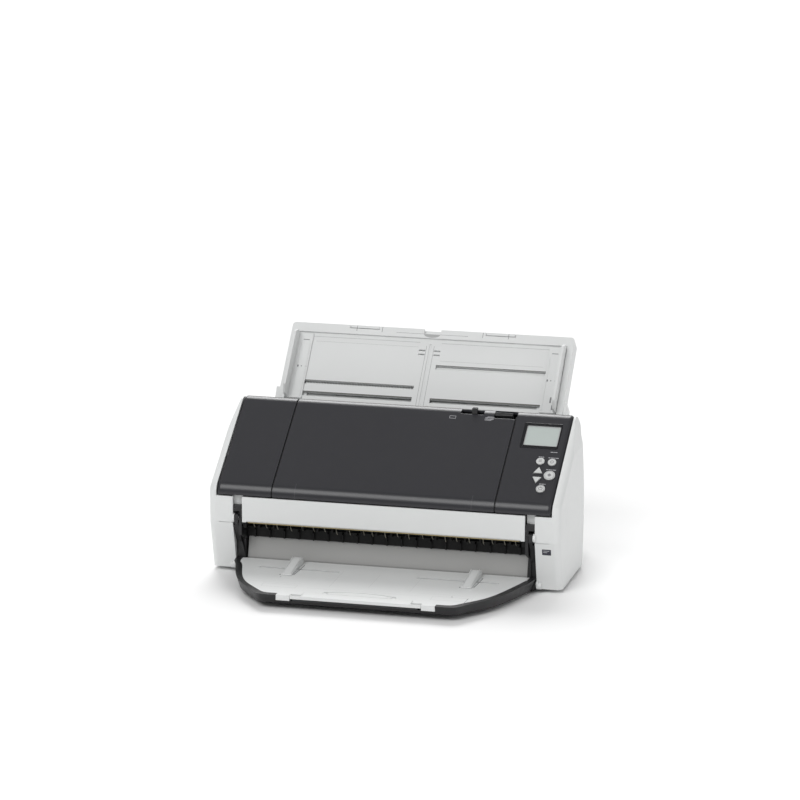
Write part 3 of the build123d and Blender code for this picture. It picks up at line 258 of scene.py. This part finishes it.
class Build:
    """Collects solid plates and tubes in one mesh and turns them into a piece."""

    def __init__(self):
        self.mesh = bmesh.new()

    def plate(self, face, shape, low, high, shrink=0.0):
        """A plate of that outline between two heights over the face, its top smaller by shrink."""
        middle_a = sum(p[0] for p in shape) / len(shape)
        middle_b = sum(p[1] for p in shape) / len(shape)
        reach = max(max(abs(p[0] - middle_a), abs(p[1] - middle_b)) for p in shape)
        scale = max(0.05, 1 - shrink / reach)
        foot_ring = [self.mesh.verts.new(face.at(a, b, low)) for a, b in shape]
        top = [(middle_a + (a - middle_a) * scale, middle_b + (b - middle_b) * scale) for a, b in shape]
        top_ring = [self.mesh.verts.new(face.at(a, b, high)) for a, b in top]
        self.close(foot_ring, top_ring)

    def ring(self, face, a, b, outer, inner, low, high, count=32):
        """A flat ring."""
        rows = []
        for radius, height in ((outer, low), (outer, high), (inner, high), (inner, low)):
            circle = disc_shape(a, b, radius, count)
            rows.append([self.mesh.verts.new(face.at(x, y, height)) for x, y in circle])
        for one, two in zip(rows, rows[1:] + rows[:1]):
            for i in range(count):
                j = (i + 1) % count
                self.mesh.faces.new((one[i], one[j], two[j], two[i]))

    def close(self, foot_ring, top_ring):
        """Closes two matching rings to a solid."""
        count = len(foot_ring)
        self.mesh.faces.new(list(reversed(foot_ring)))
        self.mesh.faces.new(top_ring)
        for i in range(count):
            j = (i + 1) % count
            self.mesh.faces.new((foot_ring[i], foot_ring[j], top_ring[j], top_ring[i]))

    def strip(self, path, across, out, half, height):
        """A low ridge along a path: half its width to either side, with sloping flanks."""
        rows = []
        for point, normal in zip(path, out):
            up = Vector(normal).normalized() * height * MM
            side = Vector(across).normalized() * half * MM
            down = Vector(normal).normalized() * -0.1 * MM
            rows.append([
                self.mesh.verts.new(Vector(point) + offset)
                for offset in (side + down, side * 0.6 + up, -side * 0.6 + up, -side + down)
            ])
        for one, two in zip(rows, rows[1:]):
            for i in range(4):
                j = (i + 1) % 4
                self.mesh.faces.new((one[i], two[i], two[j], one[j]))
        self.mesh.faces.new(rows[0])
        self.mesh.faces.new(list(reversed(rows[-1])))

    def prism(self, points, along):
        """A straight solid of any flat outline of 3-D points."""
        first = [self.mesh.verts.new(Vector(p)) for p in points]
        second = [self.mesh.verts.new(Vector(p) + Vector(along)) for p in points]
        self.close(first, second)

    def piece(self, name, material, body, smooth=False):
        """Turns the mesh into a named piece that rides on a body."""
        bmesh.ops.recalc_face_normals(self.mesh, faces=self.mesh.faces)
        data = bpy.data.meshes.new(name)
        self.mesh.to_mesh(data)
        self.mesh.free()
        obj = bpy.data.objects.new(name, data)
        bpy.context.scene.collection.objects.link(obj)
        obj.data.materials.append(material)
        if smooth:
            for polygon in data.polygons:
                polygon.use_smooth = True
            data.set_sharp_from_angle(angle=math.radians(35))
        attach(obj, body)
        return obj


def middle(node):
    """The middle of a node's box."""
    low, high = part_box(node)
    return (low + high) / 2


# ---- references on the object ---------------------------------------------------------------
SLOPE_DEGREES = 34.24
SLOPE = math.radians(SLOPE_DEGREES)
CHUTE_TURN = math.radians(47.5)
ACROSS = Vector((1, 0, 0))
UP_SLOPE = Vector((0, math.cos(SLOPE), math.sin(SLOPE)))
OFF_SLOPE = ACROSS.cross(UP_SLOPE)
KEY_MIDDLE = 2.54        # a key's middle lies this far under the panel's face
KEY_TOP = 1.2            # and its top stands this far over it
UP_CHUTE = Vector((0, math.cos(CHUTE_TURN), math.sin(CHUTE_TURN)))
OFF_CHUTE = ACROSS.cross(UP_CHUTE)


def panel_face(node):
    """The sloping face, with its origin over the middle of a key."""
    return Face(middle(node) + OFF_SLOPE * KEY_MIDDLE * MM, ACROSS, UP_SLOPE)


def key_face(node):
    """The top of a key."""
    return Face(middle(node) + OFF_SLOPE * (KEY_MIDDLE + KEY_TOP) * MM, ACROSS, UP_SLOPE)


plate_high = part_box("chute_plate")[1]
CHUTE_LONG = 87.5
CHUTE_BORDER = 2.0
CHUTE_BACK = -15.5       # the chute's underside, out of its paper surface
SLOT_LOW = 14.75         # the side guides' slots, along the chute
SLOT_HIGH = 41.75
chute_corner = Vector((0, plate_high.y - 4.5 * MM * math.sin(CHUTE_TURN), plate_high.z))
chute_zero = chute_corner - (UP_CHUTE * CHUTE_LONG + OFF_CHUTE * CHUTE_BORDER) * MM
chute_paper = Face(chute_zero, ACROSS, UP_CHUTE)
floor_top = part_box("stacker_floor")[1].z
tray = Face((0, 0, floor_top), ACROSS, (0, 1, 0))
COLUMN_FRONT = 59.0      # the column's front face lies this far in front of the zero plane


# ---- operator panel -------------------------------------------------------------------------
def panel_prints():
    """Plain dashes by the keys and sheet outlines by the selector."""
    marks = Build()
    rows = (
        ("menu_button", 0.0, 6.3, (1.6, 1.4, 2.0)),
        ("clear_button", 0.4, 6.3, (2.0, 3.4, 1.0, 3.2)),
        ("scan_button", 0.2, 8.1, (2.4, 2.0, 1.2, 3.6)),
        ("power_button", 0.6, 6.9, (2.0, 2.8, 1.2)),
        ("clear_button", -0.6, 14.2, (2.4, 1.6, 2.2)),
    )
    for node, shift, rise, widths in rows:
        face = panel_face(node)
        a = shift - (sum(widths) + 0.45 * (len(widths) - 1)) / 2
        for width in widths:
            marks.plate(face, bar_shape(a, a + width, rise - 0.42, rise + 0.42, 0.2), SUNK, LINE)
            a += width + 0.45
    marks.piece("panel_marks", print_pale, "cover")

    icons = Build()
    knob = middle("selector_knob")
    start = panel_face("menu_button")
    for shift, sheets in ((-22.5, 1), (16.0, 3)):
        side = (knob.x - start.origin.x) / MM + shift
        for i in range(sheets):
            a, b = side + i * 1.3, 52.5 + i * 0.9
            for shape in (
                bar_shape(a - 3.4, a + 3.4, b - 0.2, b + 0.2), bar_shape(a - 3.4, a + 3.4, b + 3.2, b + 3.6),
                bar_shape(a - 3.4, a - 3.0, b, b + 3.4), bar_shape(a + 3.0, a + 3.4, b, b + 3.4),
            ):
                icons.plate(start, shape, SUNK, LINE)
    icons.piece("selector_icons", print_pale, "cover")


def key_prints():
    """Plain symbols on the keys: each key carries its own."""
    face = key_face("power_button")
    sign = Build()
    sign.ring(face, 0, 0, 4.0, 3.7, SUNK, LINE)
    sign.ring(face, 0, -0.1, 2.3, 1.6, SUNK, LINE)
    sign.plate(face, bar_shape(-0.3, 0.3, 0.4, 2.5, 0.2), SUNK, LINE + 0.02)
    sign.piece("power_button_sign", print_and_shade_grey, "power_button_key")
    face = key_face("scan_button")
    sign = Build()
    sign.ring(face, 0, 0, 5.0, 4.75, SUNK, LINE, 40)
    sign.plate(face, [(0, -2.2), (2.2, 0), (0, 2.2), (-2.2, 0)], SUNK, LINE, 0.1)
    sign.piece("scan_button_sign", print_and_shade_grey, "scan_button_key")
    face = key_face("menu_button")
    sign = Build()
    for b in (-1.3, 0.0, 1.3):
        sign.plate(face, bar_shape(-1.7, 1.7, b - 0.22, b + 0.22, 0.2), SUNK, LINE)
    sign.piece("menu_button_sign", print_and_shade_grey, "menu_button_key")
    face = key_face("clear_button")
    sign = Build()
    sign.ring(face, 0, 0, 2.0, 1.55, SUNK, LINE)
    sign.plate(face, disc_shape(0, 0, 0.5, 16), SUNK, LINE)
    sign.piece("clear_button_sign", print_and_shade_grey, "clear_button_key")


def screen_border():
    """The dim frame round the screen's picture area."""
    low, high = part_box("display_panel")
    centre = (low + high) / 2 + OFF_SLOPE * 0.5 * MM
    face = Face(centre, ACROSS, UP_SLOPE)
    half_a = (high.x - low.x) / MM / 2
    half_b = (high.y - low.y) / MM / 2 / math.cos(SLOPE) - 0.3
    frame_lines = Build()
    for shape in (
        bar_shape(-half_a, half_a, half_b - 1.2, half_b - 0.2),
        bar_shape(-half_a, half_a, -half_b + 0.2, -half_b + 1.0),
        bar_shape(-half_a, -half_a + 1.0, -half_b, half_b), bar_shape(half_a - 1.0, half_a, -half_b, half_b),
    ):
        frame_lines.plate(face, shape, SUNK, LINE)
    frame_lines.piece("screen_frame", line_and_shade_grey, "cover")


# ---- cover -----------------------------------------------------------------------------------
NOSE_R = 14.0            # the nose's radius
NOSE_UP = 0.74           # its centre lies this far over the cover's lowest edge
NOSE_FROM = 90 + SLOPE_DEGREES


def nose_grooves():
    """Two fine seams over the nose of the centre cover."""
    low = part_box("centre_cover")[0]
    centre_y, centre_z = low.y + NOSE_R * MM, low.z + NOSE_UP * MM
    seams = Build()
    for x in (-95.5, 95.5):
        path, out = [], []
        for i in range(13):
            angle = math.radians(NOSE_FROM + (180 - NOSE_FROM) * i / 12)
            normal = Vector((0, math.cos(angle), math.sin(angle)))
            path.append(Vector((x * MM, centre_y, centre_z)) + normal * NOSE_R * MM)
            out.append(normal)
        start = path[0] + UP_SLOPE * 3.5 * MM
        path.insert(0, start)
        out.insert(0, out[0])
        path.append(Vector((x * MM, low.y, low.z + 0.05 * MM)))
        out.append(Vector((0, -1, 0)))
        seams.strip(path, ACROSS, out, 0.28, 0.02)
    seams.piece("nose_seams", seam_grey, "cover")


def seam_shadow_lips():
    """Painted shadow: black strips at the bottom of the seams beside the centre cover."""
    low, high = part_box("centre_cover")
    left_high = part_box("left_cover_panel")[1].x
    right_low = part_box("operator_panel")[0].x
    shadow_liners = Build()
    for x0, x1 in ((left_high, low.x), (high.x, right_low)):
        middle_x = (x0 + x1) / 2
        radius = 12.4
        centre = Vector((middle_x, low.y + NOSE_R * MM, low.z + NOSE_UP * MM))
        path, out = [], []
        for i in range(9):
            angle = math.radians(NOSE_FROM + (180 - NOSE_FROM) * i / 8)
            normal = Vector((0, math.cos(angle), math.sin(angle)))
            path.append(centre + normal * radius * MM)
            out.append(normal)
        path.insert(0, path[0] + UP_SLOPE * 117.0 * MM)
        out.insert(0, out[0])
        shadow_liners.strip(path, ACROSS, out, 0.75, 0.3)
    shadow_liners.piece("seam_shadow_liners", black, "cover")


def exit_slot():
    """Gold strip along the band's lower edge and the amber fins that steer sheets out."""
    low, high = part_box("front_band")
    strip = Build()
    front, sill = low.y + 1.0 * MM, low.z - 0.05 * MM
    left = low.x + 6 * MM
    outline = [
        Vector((left, front, sill)),
        Vector((left, front + 0.3 * MM, sill - 0.8 * MM)),
        Vector((left, front + 3.0 * MM, sill - 0.8 * MM)),
        Vector((left, front + 3.0 * MM, sill)),
    ]
    strip.prism(outline, Vector((high.x - low.x - 12 * MM, 0, 0)))
    strip.piece("band_gold_strip", brass, "cover")
    fins = Build()
    chance = random.Random(4)
    count = 23
    for i in range(count):
        x = low.x + 11 * MM + (high.x - low.x - 22 * MM) * i / (count - 1) + chance.uniform(-1.2, 1.2) * MM
        if abs((x / MM) % 16 - 8) < 1.6:
            x += 2.4 * MM
        top, tip = low.z - 0.3 * MM, low.z - chance.uniform(8.0, 10.5) * MM
        profile = []
        for j in range(7):
            t = j / 6
            profile.append(Vector((x, low.y + (6.3 + 6.0 * t * t) * MM, top + (tip - top) * t)))
        for j in range(6, -1, -1):
            t = j / 6
            profile.append(Vector((x, low.y + (8.0 + 5.0 * t * t) * MM, top + (tip - top) * t)))
        fins.prism(profile, Vector((0.7 * MM, 0, 0)))
    fins.piece("exit_fins", amber, "cover", smooth=True)


def grips():
    """Fine ridges on the release tab and on the selector's knob."""
    low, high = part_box("release_tab")
    ridges = Build()
    slant = Vector((0, 3.66, 2.02)).normalized()
    rise = Vector((0, -slant.z, slant.y))
    edge = Vector((low.x + 4 * MM, high.y - 2.2 * MM, high.z - 0.16 * MM))
    for i in range(3):
        spot = edge - slant * (0.6 + 1.15 * i) * MM
        ridges.prism([
            spot - slant * 0.3 * MM - rise * 0.1 * MM,
            spot + rise * 0.3 * MM,
            spot + slant * 0.3 * MM - rise * 0.1 * MM,
        ], Vector((high.x - low.x - 8 * MM, 0, 0)))
    ridges.piece("release_tab_ridges", black, "release")
    low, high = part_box("selector_knob")
    ridges = Build()
    for i in range(3):
        x = (low.x + high.x) / 2 + (i - 1) * 1.3 * MM
        y = low.y + 0.7 * MM
        ridges.prism([
            Vector((x - 0.25 * MM, y, high.z - 0.02 * MM)),
            Vector((x, y, high.z + 0.2 * MM)),
            Vector((x + 0.25 * MM, y, high.z - 0.02 * MM)),
        ], Vector((0, high.y - low.y - 1.4 * MM, 0)))
    ridges.piece("selector_knob_ridges", black, "selector")


# ---- rollers ---------------------------------------------------------------------------------
GROOVE = 0.32            # depth of the fine grooves along a tyre


def tyre_ring(build, face, crest, root, along, count):
    """One ring of points round a tyre, by turns at its crests and roots, this far along its axle."""
    ring = []
    for j in range(count):
        angle = 2 * math.pi * j / count
        radius = root if j % 2 else crest
        point = face.at(radius * math.cos(angle), radius * math.sin(angle), along)
        ring.append(build.mesh.verts.new(point))
    return ring


def grooved_tyres():
    """Rubber tyres with fine grooves along them, in place of the plain ones."""
    rows = (
        ("pick_tyres", "pick_roller", 14.0, 4.0, 26, 2),
        ("feed_tyres", "feed_roller", 11.0, 4.0, 26, 2),
        ("exit_tyres", "exit_roller", 9.0, 3.5, 14, 6),
        ("brake_tyres", "brake_roller", 9.0, 3.0, 24, 2),
    )
    for node, body, radius, bore, width, count in rows:
        low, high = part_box(node)
        centre = (low + high) / 2
        span = (high.x - low.x) / MM - width
        points = int(radius * 5) * 2
        tyres = Build()
        for i in range(count):
            x = low.x / MM + span * i / (count - 1)
            face = Face((x * MM, centre.y, centre.z), (0, 1, 0), (0, 0, 1))
            rings = []
            for along, cut in ((0, 1.0), (0.8, 0.0), (width - 0.8, 0.0), (width, 1.0)):
                outer = radius - cut
                rings.append(tyre_ring(tyres, face, outer, outer - GROOVE, along, points))
            for along in (width, 0):
                rings.append(tyre_ring(tyres, face, bore + 0.02, bore + 0.02, along, points))
            for one, two in zip(rings, rings[1:] + rings[:1]):
                for j in range(points):
                    k = (j + 1) % points
                    tyres.mesh.faces.new((one[j], one[k], two[k], two[j]))
        obj = tyres.piece(body + "_grooved_tyres", tyre, body, smooth=True)
        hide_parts(node)


# ---- stacker ---------------------------------------------------------------------------------
SIDE_STOPS = (
    ("stacker_guide_left", "stacker_side_left"),
    ("stacker_guide_right", "stacker_side_right"),
)


def tray_lines():
    """Faint outlines moulded in the tray's floor."""
    lines = Build()
    for x, b0, b1 in ((-38.5, -132, -71), (2, -125, -77), (47, -129, -76)):
        lines.plate(tray, bar_shape(x - 0.15, x + 0.15, b0, b1), SUNK, FAINT)
    for a0, a1, b0, b1 in ((-108.5, -71.6, -144.2, -133.5), (73.9, 116.0, -150.0, -137.1)):
        for shape in (bar_shape(a0, a1, b0, b0 + 0.4), bar_shape(a0, a1, b1 - 0.4, b1),
                      bar_shape(a0, a0 + 0.4, b0, b1), bar_shape(a1 - 0.4, a1, b0, b1)):
            lines.plate(tray, shape, SUNK, FAINT)
    for x0, x1, y in ((-128, -70, -128.5), (60, 116, -130.5), (-60, 60, -140.2)):
        lines.plate(tray, bar_shape(x0, x1, y - 0.12, y + 0.12), SUNK, FAINT)
    lines.piece("tray_lines", pale_line, "stacker")


def tray_slit_shade():
    """Painted shade: dark strips in the gaps beside the two side stops, which move with them."""
    for node, body in SIDE_STOPS:
        low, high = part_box(node)
        slit_shade = Build()
        edge = high.x / MM
        path = []
        for i in range(9):
            t = i / 8
            path.append(tray.at(edge + 1.6 + 1.6 * math.sin(math.pi * t / 2), low.y / MM + 4 + 36 * t, 0.18))
        slit_shade.strip(path, ACROSS, [Vector((0, 0, 1))] * 9, 0.4, 0.14)
        left, front = low.x / MM, low.y / MM
        slit_shade.plate(tray, bar_shape(left - 2.2, left - 1.0, front + 0.5, front + 3.0, 0.4), 0.04, 0.2)
        slit_shade.piece(node + "_gap_shade", print_and_shade_grey, body)
    dots = Build()
    for a, b in ((-97.4, -108), (93.7, -135.8), (111.0, -140.0)):
        dots.plate(tray, disc_shape(a, b, 0.8, 20), SUNK, LINE)
    scratch = [tray.at(110.4, -160, 0), tray.at(111.6, -137, 0)]
    dots.strip(scratch, ACROSS, [Vector((0, 0, 1))] * 2, 0.35, FAINT)
    dots.piece("tray_dots", print_and_shade_grey, "stacker")


def stop_ridges():
    """Low ridges along the slanting tops of the two side stops."""
    for node, body in SIDE_STOPS:
        low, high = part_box(node)
        ridges = Build()
        start = Vector((low.x, low.y, floor_top + 1.6 * MM))
        run = Vector((0, 45 * MM, 7.4 * MM))
        out = Vector((0, -run.z, run.y)).normalized()
        for x in (low.x + 1.0 * MM, high.x - 1.0 * MM):
            path = [Vector((x, start.y, start.z)) + run * t for t in (0.06, 0.5, 0.94)]
            ridges.strip(path, ACROSS, [out] * 3, 0.35, 0.25)
        ridges.piece(node + "_ridges", light, body)


# ---- chute -----------------------------------------------------------------------------------
def chute_marks():
    """Lines, among them painted shade beside the centre rib, painted shadow along the slots, border lines and
    painted shade in the finger grip's bowl on the chute.
    """
    lines = Build()
    for side, s in ((-1, 66), (1, 50)):
        x0, x1 = sorted((side * 12, side * 143))
        lines.plate(chute_paper, bar_shape(x0, x1, 71.6, 72.0), SUNK, LINE)
        x0, x1 = sorted((side * 13, side * 128))
        lines.plate(chute_paper, bar_shape(x0, x1, s - 0.12, s + 0.12), SUNK, FAINT)
        # The two lines either side of the middle are painted shade along the flanks of the centre rib.
        x = side * 4.2
        lines.plate(chute_paper, bar_shape(x - 0.25, x + 0.25, -28, 68), SUNK, LINE)
    lines.piece("chute_lines", line_and_shade_grey, "base")
    # Painted shadow along the upper edges of the side guides' slots.
    shadow_lips = Build()
    slots = (
        (-139.5, -10, 0, 1.5), (10, 139.5, 0, 1.5),
        (-139.5, -10, SLOT_LOW, 0.7), (10, 139.5, SLOT_HIGH, 0.9),
    )
    for x0, x1, s, tall in slots:
        shadow_lips.plate(chute_paper, bar_shape(x0, x1, s + 2.25, s + 2.25 + tall, 0.2), SUNK, FAINT)
    shadow_lips.piece("chute_slot_shadow_lips", slot_shade, "base")
    border = Build()
    top = Face(chute_paper.at(0, 0, CHUTE_BORDER), ACROSS, UP_CHUTE)
    for x0, x1 in ((-40, -9), (9, 40)):
        border.plate(top, bar_shape(x0, x1, 81.2, 81.5), SUNK, LINE)
    for x0, x1 in ((-85, -56), (56, 85)):
        for shape in (bar_shape(x0, x0 + 0.5, 80.6, 87), bar_shape(x1 - 0.5, x1, 80.6, 87)):
            border.plate(top, shape, SUNK, LINE)
    border.piece("chute_border_lines", print_and_shade_grey, "base")
    # Painted shade: a darker half-round where the finger grip's bowl dips into the border.
    bowl_shade = Build()
    turns = [math.pi + math.pi * i / 16 for i in range(17)]
    half_round = [(9 * math.cos(turn), 81.4 + 4.2 * math.sin(turn)) for turn in turns]
    bowl_shade.plate(top, half_round, SUNK, LINE)
    bowl_shade.piece("chute_grip_bowl_shade", line_and_shade_grey, "base")


def chute_guide_marks():
    """Dark marks and low rails on the feet of the side guides, which move with them."""
    guides = ((-1, "chute_guide_left", "chute_side_left"), (1, "chute_guide_right", "chute_side_right"))
    foot_face = Face(chute_paper.at(0, 0, 1.5), ACROSS, UP_CHUTE)
    for side, node, body in guides:
        marks = Build()
        x = side * 139
        spots = (
            (x - 3.5, x + 3.5, 66, 66.8), (x - 4.5, x - 3.0, 32, 34.5),
            (x - 0.5, x + 0.7, 32.6, 33.8), (x + 4.0, x + 6.0, 32.8, 33.4),
        )
        for a0, a1, b0, b1 in spots:
            marks.plate(foot_face, bar_shape(a0, a1, b0, b1, 0.3), SUNK, LINE)
        if side > 0:
            for a0, a1, b0, b1 in ((141.5, 143.2, 6, 13), (144.4, 147.6, -2, 3.4), (145.0, 146.4, 4.4, 9)):
                marks.plate(foot_face, bar_shape(a0, a1, b0, b1, 0.3), SUNK, LINE)
        marks.piece(node + "_marks", print_and_shade_grey, body)
        rails = Build()
        for a in (x - 5.0 * side, x + 5.0 * side):
            rails.plate(foot_face, bar_shape(a - 0.4, a + 0.4, -4, 62, 0.4), -0.05, 0.35, 0.2)
        rails.piece(node + "_rails", light, body)


def chute_ribs():
    """Stiffening ribs moulded on the back of the chute."""
    face = Face(chute_paper.at(0, 0, CHUTE_BACK), (-1, 0, 0), UP_CHUTE)
    ribs = Build()
    for i in range(9):
        a = -136 + 34 * i
        ribs.plate(face, bar_shape(a - 1.0, a + 1.0, 12, 76, 0.9), -0.1, 0.7, 0.3)
    for b in (14, 44, 74):
        ribs.plate(face, bar_shape(-138, 138, b - 0.8, b + 0.8, 0.7), -0.1, 0.6, 0.3)
    ribs.piece("chute_back_ribs", light, "base")


# ---- side and rear covers ----------------------------------------------------------------------
def column_label():
    """A blank film on the column, with two plain bars instead of any words."""
    knee = Vector((0, -COLUMN_FRONT * MM, 57 * MM))
    tilt = Vector((0, -13.3, 53)).normalized()
    face = Face(knee, ACROSS, tilt)
    film = Build()
    film.plate(face, bar_shape(170.8, 180.4, -13.4, -6.6, 0.6), -0.05, 0.08, 0.05)
    film.piece("column_label", label, "base")
    bars = Build()
    for a1, b in ((178.6, -8.4), (176.4, -10.2)):
        bars.plate(face, bar_shape(172.2, a1, b - 0.3, b + 0.3), 0.06, 0.11)
    bars.piece("column_label_bars", print_pale, "base")


def column_fittings():
    """Light walls closing the slots over the arms, and the lug low beside each arm."""
    for side, name in ((-1, "left"), (1, "right")):
        walls = Build()
        x0, x1 = sorted((side * 153.75 * MM, side * 157.1 * MM))
        walls.prism([
            Vector((x0, -52.9 * MM, 76.2 * MM)), Vector((x0, -50.6 * MM, 76.2 * MM)),
            Vector((x0, -50.6 * MM, 86.4 * MM)), Vector((x0, -52.9 * MM, 86.4 * MM)),
        ], Vector((x1 - x0, 0, 0)))
        walls.piece(name + "_slot_wall", light, "base")
        lug = Build()
        x0, x1 = sorted((side * 163.6 * MM, side * 168.6 * MM))
        profile = []
        for i in range(13):
            angle = math.radians(90 + 180 * i / 12)
            y, z = -47.6 + 3.4 * math.cos(angle), 7.6 + 3.4 * math.sin(angle)
            profile.append(Vector((x0, y * MM, z * MM)))
        profile.append(Vector((x0, -45.5 * MM, 4.2 * MM)))
        profile.append(Vector((x0, -45.5 * MM, 11.0 * MM)))
        lug.prism(profile, Vector((x1 - x0, 0, 0)))
        lug.piece(name + "_column_lug", light, "base", smooth=True)


def screw_head(build, face, a, b, radius):
    """A raised rim with a recessed disc and a cross on it."""
    build.ring(face, a, b, radius, radius * 0.62, -0.2, 0.55)
    build.plate(face, disc_shape(a, b, radius * 0.64, 24), -0.2, 0.3)
    for turn in (0, 1):
        long_a, long_b = (radius * 0.5, radius * 0.13) if turn else (radius * 0.13, radius * 0.5)
        build.plate(face, bar_shape(a - long_a, a + long_a, b - long_b, b + long_b), 0.2, 0.36)


def rear_details():
    """Screws, a blank plate, frames round the two inlets and parting lines on the rear cover."""
    face = Face((0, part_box("rear_cover")[1].y, 0), (-1, 0, 0), (0, 0, 1))
    heads = Build()
    for a in (-146, 146):
        for b in (24, 126):
            heads.ring(face, a, b, 4.4, 3.4, -0.2, 0.25)
            screw_head(heads, face, a, b, 3.0)
    heads.piece("rear_screws", zinc, "base", smooth=True)
    plate = Build()
    plate.plate(face, bar_shape(-96, -34, 24, 50, 2.0), -0.05, 0.12, 0.1)
    plate.piece("rear_blank_plate", key_grey, "base")
    frames = Build()
    grow, gap = 1.6, 0.3
    for node in ("dc_inlet", "usb_port"):
        box_low, box_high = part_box(node)
        centre_a = -(box_low.x + box_high.x) / 2 / MM
        centre_b = (box_low.z + box_high.z) / 2 / MM
        half = (box_high.x - box_low.x) / 2 / MM
        if node == "dc_inlet":
            frames.ring(face, centre_a, centre_b, half + grow, half + gap, -0.2, 0.4)
        else:
            tall = (box_high.z - box_low.z) / 2 / MM
            for sign in (-1, 1):
                b0, b1 = sorted((centre_b + sign * (tall + gap), centre_b + sign * (tall + grow)))
                bar = bar_shape(centre_a - half - grow, centre_a + half + grow, b0, b1)
                frames.plate(face, bar, -0.2, 0.4)
                a0, a1 = sorted((centre_a + sign * (half + gap), centre_a + sign * (half + grow)))
                frames.plate(face, bar_shape(a0, a1, centre_b - tall, centre_b + tall), -0.2, 0.4)
    frames.piece("port_frames", light, "base")
    line = Build()
    line.plate(face, bar_shape(-158, 158, 136.0, 136.5), SUNK, LINE)
    line.plate(face, bar_shape(-158, 158, 14.0, 14.5), SUNK, LINE)
    line.piece("rear_parting_lines", line_and_shade_grey, "base")


panel_prints()
key_prints()
screen_border()
nose_grooves()
seam_shadow_lips()
exit_slot()
grips()
grooved_tyres()
tray_lines()
tray_slit_shade()
stop_ridges()
chute_marks()
chute_guide_marks()
chute_ribs()
column_label()
column_fittings()
rear_details()


# ---- studio ---------------------------------------------------------------------------------
def backdrop():
    """A wide pale floor with a gentle fold far behind the object."""
    ground = bmesh.new()
    rows = []
    for y, z in ((-9, 0), (-3, 0), (3, 0), (9, 0), (12, 0.6), (13.5, 3)):
        rows.append([ground.verts.new((x, y, z)) for x in (-11, -4, 4, 11)])
    for one, two in zip(rows, rows[1:]):
        for i in range(3):
            ground.faces.new((one[i], one[i + 1], two[i + 1], two[i]))
    data = bpy.data.meshes.new("studio_floor")
    ground.to_mesh(data)
    ground.free()
    obj = bpy.data.objects.new("studio_floor", data)
    bpy.context.scene.collection.objects.link(obj)
    paper = Surface("studio_paper", (0.93, 0.93, 0.93), 0.85, tone=0.004, grain=0.004, depth=0.00001, edge=0)
    obj.data.materials.append(paper.material)


WORLD = 0.37
SUNS = (
    ("front_soft", -18, 46, 1.2, 34),
    ("right_soft", 78, 34, 0.4, 50),
    ("rear_soft", 195, 44, 1.9, 36),
)
CAMERA_TURN = 14.26
CAMERA_RISE = 14.0
CAMERA_AWAY = 4.524
CAMERA_AIM = Vector((-0.0064, 0.041, 0.176))
CAMERA_LENS = 191.3


def outward(turn, rise):
    """The direction from the object at that turn from the front and that height, in degrees."""
    turn, rise = math.radians(turn), math.radians(rise)
    return Vector((
        math.sin(turn) * math.cos(rise),
        -math.cos(turn) * math.cos(rise),
        math.sin(rise),
    ))


def lights():
    """An even sky and three soft suns: name, turn, rise, power and spread."""
    world = bpy.data.worlds.new("studio")
    bpy.context.scene.world = world
    world.use_nodes = True
    sky = world.node_tree.nodes["Background"]
    sky.inputs["Color"].default_value = (1, 1, 1, 1)
    sky.inputs["Strength"].default_value = WORLD
    for name, turn, rise, power, spread in SUNS:
        lamp = bpy.data.lights.new(name, "SUN")
        lamp.energy = power
        lamp.angle = math.radians(spread)
        rig = bpy.data.objects.new(name, lamp)
        bpy.context.scene.collection.objects.link(rig)
        back = outward(turn, rise)
        rig.location = back * 4
        rig.rotation_euler = (-back).to_track_quat("-Z", "Y").to_euler()


def camera():
    """A long lens at the reference angle."""
    lens = bpy.data.cameras.new("camera")
    lens.lens = CAMERA_LENS
    lens.clip_end = 60
    rig = bpy.data.objects.new("camera", lens)
    bpy.context.scene.collection.objects.link(rig)
    back = outward(CAMERA_TURN, CAMERA_RISE)
    rig.location = CAMERA_AIM + back * CAMERA_AWAY
    rig.rotation_euler = (-back).to_track_quat("-Z", "Y").to_euler()
    bpy.context.scene.camera = rig


backdrop()
lights()
camera()
bpy.context.scene.view_settings.view_transform = "Standard"
